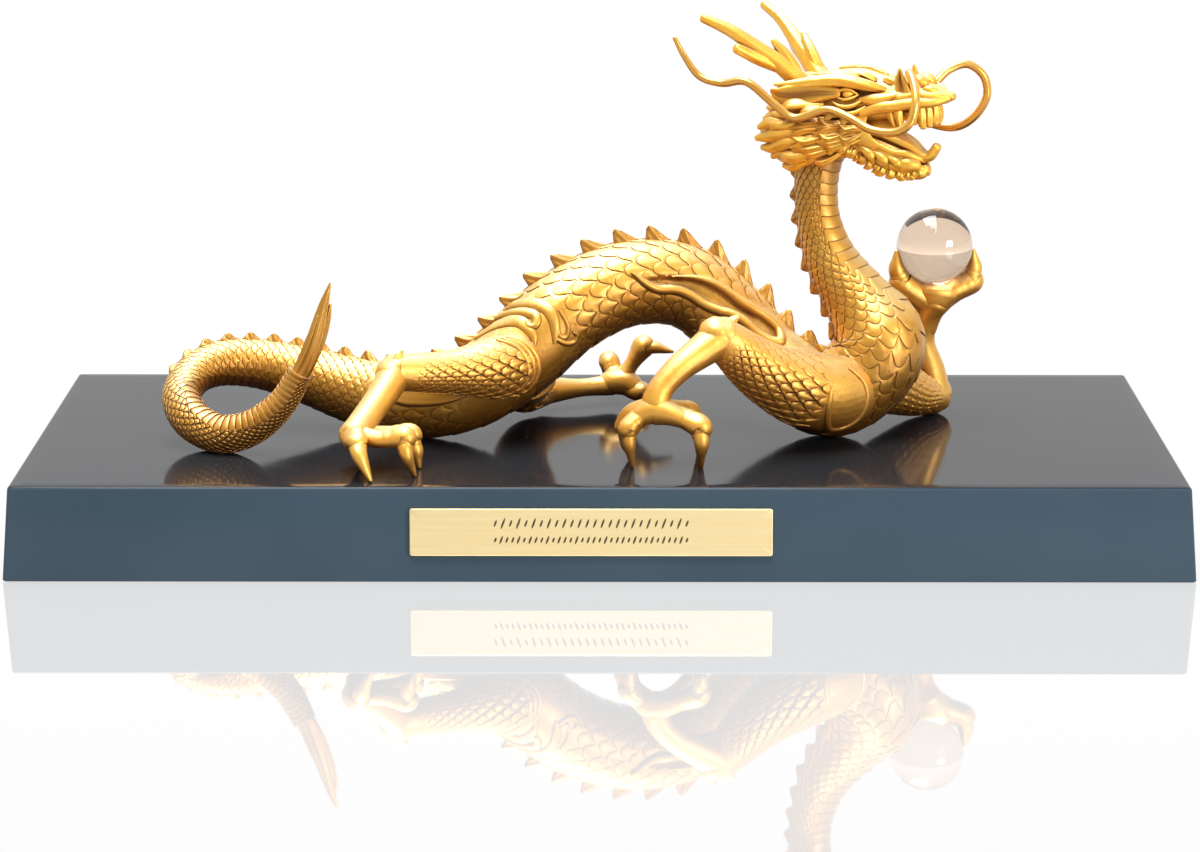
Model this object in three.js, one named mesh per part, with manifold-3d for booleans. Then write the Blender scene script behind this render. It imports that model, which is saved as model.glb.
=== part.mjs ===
// A gilt dragon ornament: a cast dragon with wire whiskers holds up a crystal ball,
// on a black lacquered plinth with a brass name plate.
// Millimetres, +Z up. The origin is the middle of the plinth's underside, and the dragon looks along +X.
import * as THREE from 'three';
import { mergeVertices } from 'three/addons/utils/BufferGeometryUtils.js';
import Module from 'manifold-3d';

const wasm = await Module();
wasm.setup();

// Driving dimensions of the plain pieces.
const PLINTH = { length: 300, depth: 150, height: 24, batter: 1.6, edge: 0.7 };
const PLATE = { length: 91, height: 12, thickness: 0.8, middle: [-2, 12.8], corner: 0.5 };
const BALL = { radius: 10.2, centre: [89.6, 16, 70.4], columns: 20, rows: 12 };
const CLEARANCE = { plinth: 0.03, ball: 0.25, whisker: 0.2, plate: 0.25 };

// The dragon's own directions: its lateral axis runs away from the viewer, and its head turns back to them.
const LATERAL = new THREE.Vector3(0, 1, 0);
const HEAD = { centre: [61.2, -8, 109.8], yaw: 28, pitch: 7 };

// Centre line of the body from tail to skull: x, y, z, half-width, half-height.
const SPINE = [
  [-77.2, -38, 46.4, 2.6, 2.9],
  [-81.7, -37, 38.4, 3.2, 3.4],
  [-89.3, -35, 31.6, 3.9, 4.1],
  [-98.1, -32, 28.8, 4.5, 4.6],
  [-106.2, -26, 31.2, 4.9, 4.9],
  [-109.8, -18, 36.0, 5.0, 5.0],
  [-107.2, -10, 40.2, 5.3, 5.3],
  [-100.4, -4, 42.2, 6.0, 6.0],
  [-90.0, -1, 41.3, 6.6, 6.6],
  [-77.2, -2, 38.3, 7.6, 7.6],
  [-63.8, -6, 34.9, 8.8, 8.8],
  [-48.9, -13, 33.8, 9.8, 9.7],
  [-34.3, -15, 37.6, 10.6, 10.6],
  [-21.1, -13, 46.4, 11.2, 11.2],
  [-8.5, -8, 57.0, 11.4, 11.4],
  [6.5, -3, 63.3, 11.2, 11.2],
  [22.4, 0, 62.3, 11.0, 11.0],
  [34.8, -2, 53.2, 10.6, 10.6],
  [45.2, -6, 42.6, 10.6, 10.4],
  [60.2, -11, 35.2, 11.6, 11.2],
  [71.2, -12, 43.2, 12.0, 12.0],
  [72.9, -11, 51.4, 12.1, 12.1],
  [67.9, -9, 60.0, 8.9, 8.9],
  [61.4, -7, 69.6, 6.9, 6.9],
  [58.0, -6, 78.4, 5.8, 5.8],
  [56.8, -5, 86.4, 5.4, 5.5],
  [57.1, -5, 94.6, 5.6, 5.7],
  [59.1, -5, 102.6, 6.2, 6.2],
];
// The body is cast as a torso that ends in the chest and a neck that rises out of it: where they part
// on the spine, the stations that close them there, and their facets.
const BODY = {
  chest: 20,
  torsoEnd: [[67.8, -11.8, 37, 11.2, 10.8], [73.6, -12, 41.5, 7.6, 7.6]],
  neckStart: [[69.4, -11.6, 34, 9.4, 9]],
  sides: 12,
  torsoSteps: 56,
  neckSteps: 24,
};

// Fins along the back: spacing, height over the skin from the tail's end to the skull, and the shares
// of the spine that carry them, which leave out the tail's curl and the tight bend before the chest.
const FIN = {
  spacing: 8.2,
  heights: [1.2, 2.3, 2.7, 3.6, 3.9, 2.8, 1.5, 1.1],
  thickness: 0.9,
  root: 1.6,
  spans: [[0.25, 0.698], [0.765, 0.985]],
};

// Limbs: stations as on the body, root first. A toe's third last station is its knuckle, and it ends
// in its claw. The raised one ends in a cupped palm under the ball.
const LIMBS = {
  nearHind: {
    thigh: [
      [-15, -11, 46.6, 4.6, 5], [-19.4, -18, 45.8, 7.2, 7.9], [-28, -25.4, 45.4, 7.4, 7.8],
      [-39, -32.4, 45.6, 5.2, 5.4], [-52.7, -38.5, 46.4, 4.6, 4.8],
    ],
    shin: [[-52.2, -37.5, 46.8, 4.6], [-57.6, -48, 39.2, 3.9], [-62.4, -57.5, 33.6, 4.1]],
    toes: [
      [
        [-62.4, -57.5, 33.6, 3.6], [-61.6, -62, 32.2, 3.8],
        [-60.4, -65.8, 28.6, 2.5], [-57.2, -67.3, 23.6, 0.5],
      ],
      [
        [-62, -57, 34, 3.2], [-55.5, -60, 34.4, 3.0], [-48.9, -61, 36, 3.8],
        [-47.6, -64.6, 31, 2.7], [-47.5, -65, 23.6, 0.5],
      ],
      [
        [-61.5, -56, 33.6, 3.0], [-54, -53, 33.8, 2.8], [-48.4, -51, 33.6, 3.2],
        [-46.6, -51.4, 28.8, 2.2], [-46, -52, 23.6, 0.5],
      ],
      [[-62, -56, 33.4, 3.0], [-60.6, -50, 31.6, 3.0], [-59.6, -46.4, 28.4, 2.0], [-59, -45.6, 23.6, 0.5]],
    ],
  },
  nearFore: {
    thigh: [
      [73, -8, 41, 6, 6], [68, -15, 38.8, 9.4, 9.9], [57.6, -25.6, 38.8, 10, 10.2],
      [43.2, -34.6, 45.8, 7.8, 7.8], [31.3, -40, 56, 5.2, 5.2],
    ],
    shin: [[31.6, -39.8, 56.2, 5.0], [22.8, -44.8, 51, 3.8], [15.4, -48, 44.4, 3.6], [13.9, -49, 39.3, 4.2]],
    toes: [
      [
        [14.1, -49, 39.6, 3.6], [10.3, -50, 37.4, 3.1], [7.2, -51, 34.2, 3.5],
        [7.6, -51.8, 29.4, 2.5], [8.3, -50.6, 23.6, 0.5],
      ],
      [
        [14.4, -49.2, 39.2, 3.7], [20.5, -50.2, 38.2, 3.4], [26.1, -52, 35.4, 4.0],
        [26.6, -53.8, 30.4, 2.9], [24.8, -52.9, 23.6, 0.5],
      ],
      [
        [14.2, -47.8, 39.6, 3.1], [19.2, -42, 39.2, 2.7], [24.3, -36, 37.2, 3.0],
        [26.8, -33.6, 31.4, 2.1], [27.2, -33, 23.6, 0.5],
      ],
      [
        [13.4, -48, 39, 3.0], [8.6, -43, 36.4, 2.8], [6.8, -41, 33, 2.9],
        [7, -40.2, 28.6, 2.0], [7.8, -40, 23.6, 0.5],
      ],
    ],
  },
  farFore: {
    thigh: [[70, -6, 39, 9, 9], [77, 4, 35, 8, 8], [84.4, 13, 30.6, 6.2, 6.0], [90.2, 19.4, 28.6, 4.6, 4.4]],
    shin: [
      [90.6, 19.6, 28.2, 4.6], [89, 19.6, 35, 4.1], [86.8, 18, 43.6, 2.9], [88, 17, 50.8, 3.4],
      [88.9, 16.4, 54.6, 5.4, 5.0], [89.5, 16, 57.2, 6.4, 5.6],
    ],
    toes: [
      [
        [88.4, 15.6, 55.4, 3.7], [84.4, 14.6, 58, 3.5], [80.8, 13.4, 60.8, 3.1],
        [79.4, 13, 64.6, 2.2], [79.2, 13, 69.4, 0.5],
      ],
      [
        [90.6, 16, 55.6, 3.7], [95.3, 16.6, 58.6, 3.4], [100.4, 17.8, 60.4, 3.0],
        [101.6, 18.2, 64.2, 2.2], [100.6, 18, 69, 0.5],
      ],
      [
        [89.6, 17.4, 55, 3.4], [89.8, 22, 55.2, 2.9], [90, 25.6, 55.6, 2.6],
        [90, 28.2, 57.2, 1.8], [90, 30, 59.6, 0.4],
      ],
    ],
  },
  farHind: {
    thigh: [
      [-20, -8, 42, 9, 9], [-22, 4, 36.6, 7.6, 7.8],
      [-20.6, 13, 31.6, 6.2, 6.2], [-15.6, 21.6, 29.8, 4.4, 4.4],
    ],
    shin: [[-16.4, 20.8, 29.8, 4.3], [-5.9, 27, 29.2, 3.1], [2.6, 30, 29.8, 3.2], [5.6, 30, 30.9, 3.6]],
    toes: [
      [
        [4.4, 30.2, 31.2, 3.1], [3.4, 32.6, 33.4, 2.8], [2.2, 34.4, 36.4, 3.0],
        [1.4, 38.8, 34.8, 2.0], [1.2, 42, 29.6, 0.5],
      ],
      [
        [5.6, 30, 31, 3.0], [7.9, 30, 36, 2.7], [12, 30, 41.6, 3.2],
        [15.2, 30, 41.4, 2.2], [19.7, 30, 39.3, 0.4],
      ],
      [
        [5.6, 30, 30.6, 3.0], [8.5, 29, 28.6, 2.8], [11, 27.6, 28, 2.8],
        [13.6, 26.4, 26.6, 2.0], [15.6, 25.6, 23.6, 0.5],
      ],
    ],
  },
};

// Flame locks that trail from each limb's root over the skin: share along the spine, and degrees
// up from the flank.
const FLAMES = {
  locks: [
    [[0.667, 48], [0.636, 10], [0.606, -3], [0.58, 4], [0.562, 16]],
    [[0.45, 48], [0.478, 44], [0.502, 28], [0.52, 2]],
  ],
  halfWidths: [2.0, 2.8, 2.4, 1.4, 0.4],
  lift: 0.7,
};

// The head in its own frame: x forward, y to the far side, z up.
// Each list runs from back to front or from root to tip.
const SKULL = [
  [-12, 0, -3, 6, 7], [-6, 0, 1, 8.4, 8.6], [2, 0, 2.4, 8.8, 8.2],
  [9, 0, 3.4, 7.8, 7.0], [15, 0, 3.4, 6.2, 4.9],
  [21, 0, 3.2, 5.6, 4.0], [26.4, 0, 3.0, 5.6, 3.4], [30.4, 0, 2.4, 4.4, 2.4], [34, 0, 2.0, 1.8, 1.1],
];
const JAW = [
  [0, 0, -5.6, 7.4, 4.4], [8, 0, -9.2, 6.6, 3.8], [14, 0, -12.6, 5.6, 3.4],
  [19.6, 0, -15.2, 4.6, 3.1], [23.8, 0, -16.2, 2.9, 2.1],
];
const COLLAR = [
  [8, 0, -5, 6.4, 5], [2, 0, -4.6, 9, 7.4], [-5, 0, -4.4, 10.4, 7.6],
  [-11, 0, -4.6, 9.6, 5.4], [-15, 0, -5, 6, 2.4],
];
const TONGUE = [
  [6, 0, -4.4, 4.2, 2.0], [14, 0, -6.6, 4.2, 2.0], [20, 0, -9.4, 3.6, 1.8],
  [24, 0, -12.6, 2.2, 1.3], [28.2, 0, -10.4, 0.8, 0.7],
];
// Pieces on both sides of the head, given for the near one.
const FACE = {
  brow: [
    [17, -4.2, 5.4, 1.2], [13, -6.4, 7.2, 1.7], [7, -8.2, 8.8, 1.9],
    [0.5, -9.8, 9.1, 1.6], [-5, -11.2, 9.2, 1.1],
  ],
  ear: [
    [5, -8, 6.6, 1.2, 2.0], [-2, -10.4, 7.6, 1.5, 2.6],
    [-8, -12.4, 8.8, 1.1, 1.8], [-12, -13.6, 9.8, 0.4, 0.5],
  ],
  eye: [[7, -7, 5, 1.6], [8.8, -7.4, 5.2, 2.2], [10.6, -6.8, 5, 1.4]],
  lip: [
    [11.6, -7.6, -0.6, 1.6], [17, -7.2, 1.2, 2.0], [23, -6.4, 1.8, 1.8],
    [28.4, -4.8, 1.6, 1.6], [32.6, -1.6, 1.4, 1.2],
  ],
  nostril: [[26.4, -3.4, 4.2, 2.2], [23.2, -4.2, 7, 1.9], [21.6, -4.6, 10.2, 0.6]],
  fang: [[20.2, -5.2, 0.6, 1.5], [21, -5.6, -1.6, 1.1], [21.6, -5.6, -4.6, 0.4]],
  tooth: [[28, -3, 0.6, 1.5], [28.2, -3.2, -2.4, 1.1], [28, -3.2, -5.4, 0.5]],
  horn: [
    [-4.6, -5.2, 7, 2.8], [-10.2, -8.2, 14, 2.5], [-14.4, -11, 18.4, 2.1],
    [-20.2, -15, 24.2, 1.65], [-26.2, -18, 28.2, 1.25],
  ],
  rearTine: [[-11, -8.8, 14, 1.9], [-15.2, -12.6, 16.8, 1.6], [-18.4, -16.2, 19.6, 1.3]],
  foreTine: [[-6, -6, 9, 2.0], [-8.6, -7.2, 15.6, 1.5], [-11.2, -9, 20.4, 0.8]],
};
// Locks of the mane on each side, from the brow down to the throat and then over the nape: root and tip.
const MANE = {
  locks: [
    [[1, -9, 1.4], [-12, -12.4, 1.6]],
    [[0, -9.8, -1.8], [-17, -12.6, -2]],
    [[0, -9.8, -4.8], [-16.8, -12, -5.6]],
    [[1, -9, -7.6], [-14.4, -11.4, -8.8]],
    [[2, -6.6, -10], [-10.6, -9.4, -12.2]],
    [[-4, -3, 6.4], [-16.4, -3.4, 3.2]],
    [[-6, -5, 0], [-18, -7, -3.4]],
  ],
  width: 1.7,
  height: 2.2,
};
// Tufts under the jaw, from the cheek to the chin.
const BEARD = { count: 4, from: [8.3, -4.4, -11.8], to: [20.2, -2.8, -17], length: 3.2, radius: 1.7 };
// The leaf that ends the tail, and its side leaf.
const TAIL_LEAF = [
  [-78.6, -37.8, 43.2, 1.8, 2.6], [-75.4, -38.2, 49, 1.7, 2.8], [-72.6, -38.8, 56.2, 1.4, 2.5],
  [-70.4, -39, 63.6, 0.9, 1.5], [-68.9, -39, 69.8, 0.3, 0.3],
];

// Whiskers of bent wire, in the head's frame, root first.
const WHISKERS = {
  near_whisker: [
    [26.4, -2.8, 4, 1.15], [25, -5.6, 9.2, 1.15], [27, -8.2, 7, 1.1],
    [28.5, -11, 2.7, 1.1], [27.4, -13, -2.6, 1.1],
    [23.4, -14, -4.9, 1.1], [16.7, -14, -4, 1.1], [10.8, -14, -0.5, 1.1],
    [4.4, -14, 2, 1.1], [-4.3, -15, 0.5, 1.1],
    [-9.2, -16.4, 4.6, 1.1], [-15.6, -18, 10.9, 1.1], [-22.3, -19, 11.1, 1.05],
    [-28, -20, 13.4, 1], [-31.2, -21, 18.7, 0.85],
    [-33.1, -22, 23.9, 0.6],
  ],
  far_whisker: [
    [25.6, 3, 3.6, 1.15], [27.5, 5, 5.8, 1.15], [30.2, 8, 8.5, 1.15],
    [34.1, 11, 9.2, 1.1], [37.3, 13, 5.7, 1.1], [37.2, 14, 0.3, 1.1],
    [33.3, 14, -4.7, 1.1], [27.4, 14, -7.2, 1.1], [20, 14, -5.6, 1.1],
    [11, 14.2, -0.8, 1.1], [3, 14.6, 1.4, 1], [-5, 15.4, 1.2, 0.6],
  ],
};
const WIRE = { sides: 5, stepsPerStation: 2 };

// Materials.
const GILT = new THREE.MeshStandardMaterial({ color: 0xd99a3a, roughness: 0.35, metalness: 1 });
const LACQUER = new THREE.MeshStandardMaterial({ color: 0x14181c, roughness: 0.1, metalness: 0 });
const BRASS = new THREE.MeshStandardMaterial({ color: 0xf0cf86, roughness: 0.3, metalness: 1 });
const CRYSTAL = new THREE.MeshStandardMaterial({
  color: 0xf4f2f0,
  roughness: 0.02,
  metalness: 0,
  transparent: true,
  opacity: 0.35,
});

const vector = (list) => new THREE.Vector3(list[0], list[1], list[2]);

// A list of numbers run smoothly through its values, read at t from 0 to 1.
function smoothList(values, t) {
  const points = values.map((value) => new THREE.Vector3(value, 0, 0));
  return new THREE.CatmullRomCurve3(points, false, 'catmullrom', 0.5).getPoint(t).x;
}

// The path through a list of stations, with its frame and half-sizes at t from 0 to 1.
class Path {
  constructor(stations, side = LATERAL) {
    this.line = new THREE.CatmullRomCurve3(stations.map(vector), false, 'catmullrom', 0.5);
    this.widths = stations.map((s) => s[3]);
    this.heights = stations.map((s) => s[4] ?? s[3]);
    this.side = side;
  }

  // Centre, tangent, lateral and dorsal directions, half-width and half-height.
  at(t) {
    const centre = this.line.getPoint(t);
    const tangent = this.line.getTangent(t);
    const lateral = this.side.clone().addScaledVector(tangent, -this.side.dot(tangent)).normalize();
    const dorsal = new THREE.Vector3().crossVectors(tangent, lateral);
    const width = Math.max(smoothList(this.widths, t), 0.2);
    const height = Math.max(smoothList(this.heights, t), 0.2);
    return { centre, tangent, lateral, dorsal, width, height };
  }

  // A point on the skin at t, turned by degrees from the near side (0) over the back (90), raised by lift.
  skin(t, degrees, lift = 0) {
    const f = this.at(t);
    const turn = THREE.MathUtils.degToRad(degrees);
    const across = -Math.cos(turn) * (f.width + lift);
    const up = Math.sin(turn) * (f.height + lift);
    return f.centre.clone().addScaledVector(f.lateral, across).addScaledVector(f.dorsal, up);
  }
}

// A closed strand: an oval ring carried along a path, closed at both ends by a low cone.
// grow widens it all round.
function strand(stations, { sides = 6, steps = 6, side = LATERAL, grow = 0 } = {}) {
  const path = new Path(stations, side);
  const geometry = new THREE.SphereGeometry(1, sides, steps);
  const position = geometry.getAttribute('position');
  const endBulge = 0.35;
  for (let row = 0; row <= steps; row++) {
    const t = THREE.MathUtils.clamp((row - 1) / (steps - 2), 0, 1);
    const f = path.at(t);
    const isEnd = row === 0 || row === steps;
    if (isEnd) f.centre.addScaledVector(f.tangent, (row === 0 ? -1 : 1) * endBulge * (f.height + grow));
    for (let column = 0; column <= sides; column++) {
      const turn = (column / sides) * 2 * Math.PI;
      const across = isEnd ? 0 : -Math.cos(turn) * (f.width + grow);
      const up = isEnd ? 0 : Math.sin(turn) * (f.height + grow);
      const point = f.centre.clone().addScaledVector(f.lateral, across).addScaledVector(f.dorsal, up);
      position.setXYZ(row * (sides + 1) + column, point.x, point.y, point.z);
    }
  }
  return geometry;
}

// A closed geometry as a solid for joining and cutting.
function solidOf(geometry) {
  const bare = geometry.clone();
  bare.deleteAttribute('normal');
  bare.deleteAttribute('uv');
  const merged = mergeVertices(bare, 1e-4);
  const triVerts = new Uint32Array(merged.index.array);
  const vertProperties = merged.getAttribute('position').array;
  return new wasm.Manifold(new wasm.Mesh({ numProp: 3, vertProperties, triVerts }));
}

// A solid's surface as a flat-shaded geometry.
function geometryOf(solid) {
  const mesh = solid.getMesh();
  const geometry = new THREE.BufferGeometry();
  geometry.setAttribute('position', new THREE.BufferAttribute(new Float32Array(mesh.vertProperties), 3));
  geometry.setIndex(new THREE.BufferAttribute(new Uint32Array(mesh.triVerts), 1));
  geometry.computeVertexNormals();
  return geometry;
}

function namedMesh(name, geometry, material) {
  const mesh = new THREE.Mesh(geometry, material);
  mesh.name = name;
  return mesh;
}

const headMatrix = new THREE.Matrix4()
  .makeTranslation(...HEAD.centre)
  .multiply(new THREE.Matrix4().makeRotationZ(THREE.MathUtils.degToRad(-HEAD.yaw)))
  .multiply(new THREE.Matrix4().makeRotationY(THREE.MathUtils.degToRad(-HEAD.pitch)));
const inHead = (geometry) => geometry.applyMatrix4(headMatrix);
const mirrored = (stations) => stations.map(([x, y, z, ...size]) => [x, -y, z, ...size]);

// The scaled body, tail to skull.
const spine = new Path(SPINE);
function bodyPieces() {
  const torso = [...SPINE.slice(0, BODY.chest), ...BODY.torsoEnd];
  const neck = [...BODY.neckStart, ...SPINE.slice(BODY.chest)];
  return [
    strand(torso, { sides: BODY.sides, steps: BODY.torsoSteps }),
    strand(neck, { sides: BODY.sides, steps: BODY.neckSteps }),
  ];
}

// Fins that stand along the back, evenly spaced on the skin's top line, each leaning to the tail.
function finPieces() {
  const samples = 160;
  const ridge = Array.from({ length: samples }, (_, i) => spine.skin(i / (samples - 1), 90));
  const topLine = new THREE.CatmullRomCurve3(ridge, false, 'catmullrom', 0.5);
  const count = Math.floor(topLine.getLength() / FIN.spacing);
  const places = Array.from({ length: count }, (_, i) => topLine.getUtoTmapping((i + 0.5) / count));
  const carried = places.filter((t) => FIN.spans.some(([from, to]) => t > from && t < to));
  const half = FIN.spacing * 0.46;
  return carried.map((t) => {
    const f = spine.at(t);
    const height = smoothList(FIN.heights, t);
    const foot = f.centre.clone().addScaledVector(f.dorsal, f.height - FIN.root);
    const peak = f.centre.clone().addScaledVector(f.dorsal, f.height + height);
    peak.addScaledVector(f.tangent, -half * 0.9);
    const stations = [[...foot.toArray(), FIN.thickness, half], [...peak.toArray(), 0.3, 0.4]];
    return strand(stations, { sides: 4, steps: 3, side: f.lateral });
  });
}

// One limb: its scaled upper part, its bare lower part, and its toes with their claws.
function limbPieces(limb) {
  const shinSide = new THREE.Vector3(1, 0, 0.3).normalize();
  const toeSide = new THREE.Vector3(0.3, 1, 0.2).normalize();
  return [
    strand(limb.thigh, { sides: 8, steps: 8 }),
    strand(limb.shin, { sides: 7, steps: 8, side: shinSide }),
    ...limb.toes.map((toe) => strand(toe, { sides: 5, steps: 6, side: toeSide })),
  ];
}

// Flame locks on both flanks, half sunk in the skin.
function flamePieces() {
  const flank = (places, isFar) => {
    const stations = places.map(([t, degrees], i) => {
      const half = smoothList(FLAMES.halfWidths, i / (places.length - 1));
      return [...spine.skin(t, isFar ? 180 - degrees : degrees).toArray(), FLAMES.lift, half];
    });
    return strand(stations, { sides: 6, steps: 7 });
  };
  return FLAMES.locks.flatMap((places) => [flank(places, false), flank(places, true)]);
}

// Skull, jaw, tongue and the mane's collar on the middle plane, and the paired pieces of the face.
function headPieces() {
  const middle = [
    strand(SKULL, { sides: 10, steps: 12 }),
    strand(JAW, { sides: 8, steps: 7 }),
    strand(TONGUE, { sides: 6, steps: 7 }),
    strand(COLLAR, { sides: 10, steps: 7 }),
  ];
  const paired = Object.values(FACE).flatMap((stations) => {
    const shape = { sides: 5, steps: stations.length + 1 };
    const side = Math.abs(stations[0][2] - stations.at(-1)[2]) > 4 ? new THREE.Vector3(1, 0, 0) : LATERAL;
    return [strand(stations, { ...shape, side }), strand(mirrored(stations), { ...shape, side })];
  });
  return [...middle, ...paired].map(inHead);
}

// Mane locks fanned behind the cheeks, and tufts under the jaw.
function manePieces() {
  const lock = ([root, tip]) => {
    const bow = root.map((value, axis) => (value + tip[axis]) / 2 + (axis === 1 ? -0.8 : 0));
    return [
      [...root, MANE.width * 1.2, MANE.height],
      [...bow, MANE.width, MANE.height * 0.9],
      [...tip, 0.4, 0.4],
    ];
  };
  const locks = MANE.locks.map(lock);
  const tufts = Array.from({ length: BEARD.count }, (_, i) => {
    const share = i / (BEARD.count - 1);
    const root = BEARD.from.map((value, axis) => THREE.MathUtils.lerp(value, BEARD.to[axis], share));
    const tip = [root[0] - BEARD.length * 0.5, root[1] - 0.6, root[2] - BEARD.length * 0.6];
    const middle = [(root[0] + tip[0]) / 2, tip[1], (root[2] + tip[2]) / 2];
    return [[...root, BEARD.radius], [...middle, BEARD.radius * 0.9], [...tip, 0.4]];
  });
  const oneSide = [...locks, ...tufts];
  const bothSides = [...oneSide, ...oneSide.map(mirrored)];
  return bothSides.map((stations) => inHead(strand(stations, { sides: 4, steps: 4 })));
}

function whiskerGeometry(stations, grow = 0) {
  const steps = stations.length * WIRE.stepsPerStation;
  const side = new THREE.Vector3(0.2, 1, 0.1).normalize();
  return inHead(strand(stations, { sides: WIRE.sides, steps, side, grow }));
}

function ballGeometry(grow = 0) {
  const ball = new THREE.SphereGeometry(BALL.radius + grow, BALL.columns, BALL.rows);
  return ball.rotateX(Math.PI / 2).translate(...BALL.centre);
}

// Everything under the plinth's top, which flattens what the dragon stands on.
function groundGeometry() {
  const ground = new THREE.BoxGeometry(PLINTH.length, PLINTH.depth, PLINTH.height);
  return ground.translate(0, 0, PLINTH.height / 2 + CLEARANCE.plinth);
}

// The dragon, cast as one piece and cut clear of what it stands on and holds.
function dragonGeometry() {
  const leaf = strand(TAIL_LEAF, { sides: 6, steps: 10 });
  const limbs = Object.values(LIMBS).flatMap(limbPieces);
  const head = [...headPieces(), ...manePieces()];
  const pieces = [...bodyPieces(), ...finPieces(), ...limbs, ...flamePieces(), ...head, leaf];
  const cast = wasm.Manifold.union(pieces.map(solidOf));
  const widened = Object.values(WHISKERS).map((stations) => whiskerGeometry(stations, CLEARANCE.whisker));
  const whiskers = widened.map(solidOf);
  const cutters = [solidOf(groundGeometry()), solidOf(ballGeometry(CLEARANCE.ball)), ...whiskers];
  return geometryOf(cutters.reduce((solid, cutter) => solid.subtract(cutter), cast));
}

// The plinth: a slab whose sides lean in to the top, with its top edge broken.
function plinthGeometry() {
  const slab = new THREE.BoxGeometry(PLINTH.length, PLINTH.depth, PLINTH.height, 1, 1, 2).toNonIndexed();
  const position = slab.getAttribute('position');
  const shoulder = PLINTH.height - PLINTH.edge;
  for (let i = 0; i < position.count; i++) {
    const level = Math.round(position.getZ(i) / (PLINTH.height / 2)) + 1;
    const z = [0, shoulder, PLINTH.height][level];
    const inset = (PLINTH.batter * z) / PLINTH.height + (level === 2 ? PLINTH.edge : 0);
    const x = Math.sign(position.getX(i)) * (PLINTH.length / 2 - inset);
    const y = Math.sign(position.getY(i)) * (PLINTH.depth / 2 - inset);
    position.setXYZ(i, x, y, z);
  }
  slab.computeVertexNormals();
  return slab;
}

// The name plate: a thin sheet with its corners clipped round, fixed to the leaning front.
function plateMesh() {
  const outline = new THREE.Shape();
  const [w, h, r] = [PLATE.length / 2, PLATE.height / 2, PLATE.corner];
  outline.moveTo(-w + r, -h).lineTo(w - r, -h).quadraticCurveTo(w, -h, w, -h + r);
  outline.lineTo(w, h - r).quadraticCurveTo(w, h, w - r, h).lineTo(-w + r, h);
  outline.quadraticCurveTo(-w, h, -w, h - r).lineTo(-w, -h + r).quadraticCurveTo(-w, -h, -w + r, -h);
  const shape = { depth: PLATE.thickness, bevelEnabled: false, curveSegments: 3 };
  const sheet = new THREE.ExtrudeGeometry(outline, shape);
  const mesh = namedMesh('name_plate', sheet, BRASS);
  const lean = Math.atan(PLINTH.batter / PLINTH.height);
  const [x, z] = PLATE.middle;
  mesh.position.set(x, -PLINTH.depth / 2 + (PLINTH.batter * z) / PLINTH.height - CLEARANCE.plate, z);
  mesh.rotation.x = Math.PI / 2 - lean;
  return mesh;
}

const ornament = new THREE.Group();
ornament.add(namedMesh('plinth', plinthGeometry(), LACQUER));
ornament.add(plateMesh());
ornament.add(namedMesh('dragon', dragonGeometry(), GILT));
for (const [name, stations] of Object.entries(WHISKERS)) {
  ornament.add(namedMesh(name, whiskerGeometry(stations), GILT));
}
ornament.add(namedMesh('crystal_ball', ballGeometry(), CRYSTAL));

export default ornament;
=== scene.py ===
"""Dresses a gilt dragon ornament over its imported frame.

The pieces are the casting, its whiskers, the crystal ball, the plinth and its plate, in a small studio.
Shapes are worked out in millimetres, and make_piece turns them into metres.
"""
import logging
import math
from collections.abc import Callable, Sequence
from dataclasses import dataclass, field
from enum import Enum

import bpy
import numpy as np
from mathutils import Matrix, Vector
from numpy.typing import NDArray


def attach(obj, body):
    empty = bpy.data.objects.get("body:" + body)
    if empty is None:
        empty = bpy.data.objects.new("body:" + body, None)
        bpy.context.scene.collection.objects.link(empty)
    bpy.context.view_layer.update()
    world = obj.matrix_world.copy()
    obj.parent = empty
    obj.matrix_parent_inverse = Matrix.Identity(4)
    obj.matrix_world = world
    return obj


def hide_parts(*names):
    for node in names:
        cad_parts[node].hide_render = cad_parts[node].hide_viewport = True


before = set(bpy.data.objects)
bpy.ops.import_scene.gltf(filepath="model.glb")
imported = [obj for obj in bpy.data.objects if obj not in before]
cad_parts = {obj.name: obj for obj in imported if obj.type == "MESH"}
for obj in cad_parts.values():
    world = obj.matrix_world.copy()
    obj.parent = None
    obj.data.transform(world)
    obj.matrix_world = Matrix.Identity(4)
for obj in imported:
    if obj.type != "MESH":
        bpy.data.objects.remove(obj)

LOG = logging.getLogger("ornament")
MM = 0.001
TAU = 2.0 * math.pi
TINY = 1e-12
Grid = NDArray[np.float64]
Relief = Callable[[Grid, Grid], Grid]
Station = Sequence[float]
Table = tuple[tuple[float, float], ...]
Span = tuple[float, float]
Colour = tuple[float, float, float]
Place = tuple[float, float, float]
Socket = bpy.types.NodeSocket
Material = bpy.types.Material


def smooth_through(values: Grid, t: Grid) -> Grid:
    """Reads a curve that runs smoothly through rows of values.

    Between two rows it is a cubic. Its slope at a row is half the step from the row before to the row
    after.

    Args:
        values: Rows of numbers, first row at 0 and last row at 1.
        t: Where to read, from 0 to 1, in any shape.

    Returns:
        The values there, with the columns as a last axis.
    """
    rows = np.asarray(values, float)
    padded = np.concatenate([2 * rows[:1] - rows[1:2], rows, 2 * rows[-1:] - rows[-2:-1]])
    place = np.clip(np.asarray(t, float), 0, 1) * (len(rows) - 1)
    index = np.minimum(place.astype(int), len(rows) - 2)
    w = (place - index)[..., None]
    before, start, end, after = (padded[index + k] for k in range(4))
    slope_in = 0.5 * (end - before)
    slope_out = 0.5 * (after - start)
    square = w * w
    cube = square * w
    return (
        (2 * cube - 3 * square + 1) * start
        + (cube - 2 * square + w) * slope_in
        + (3 * square - 2 * cube) * end
        + (cube - square) * slope_out
    )


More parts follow.
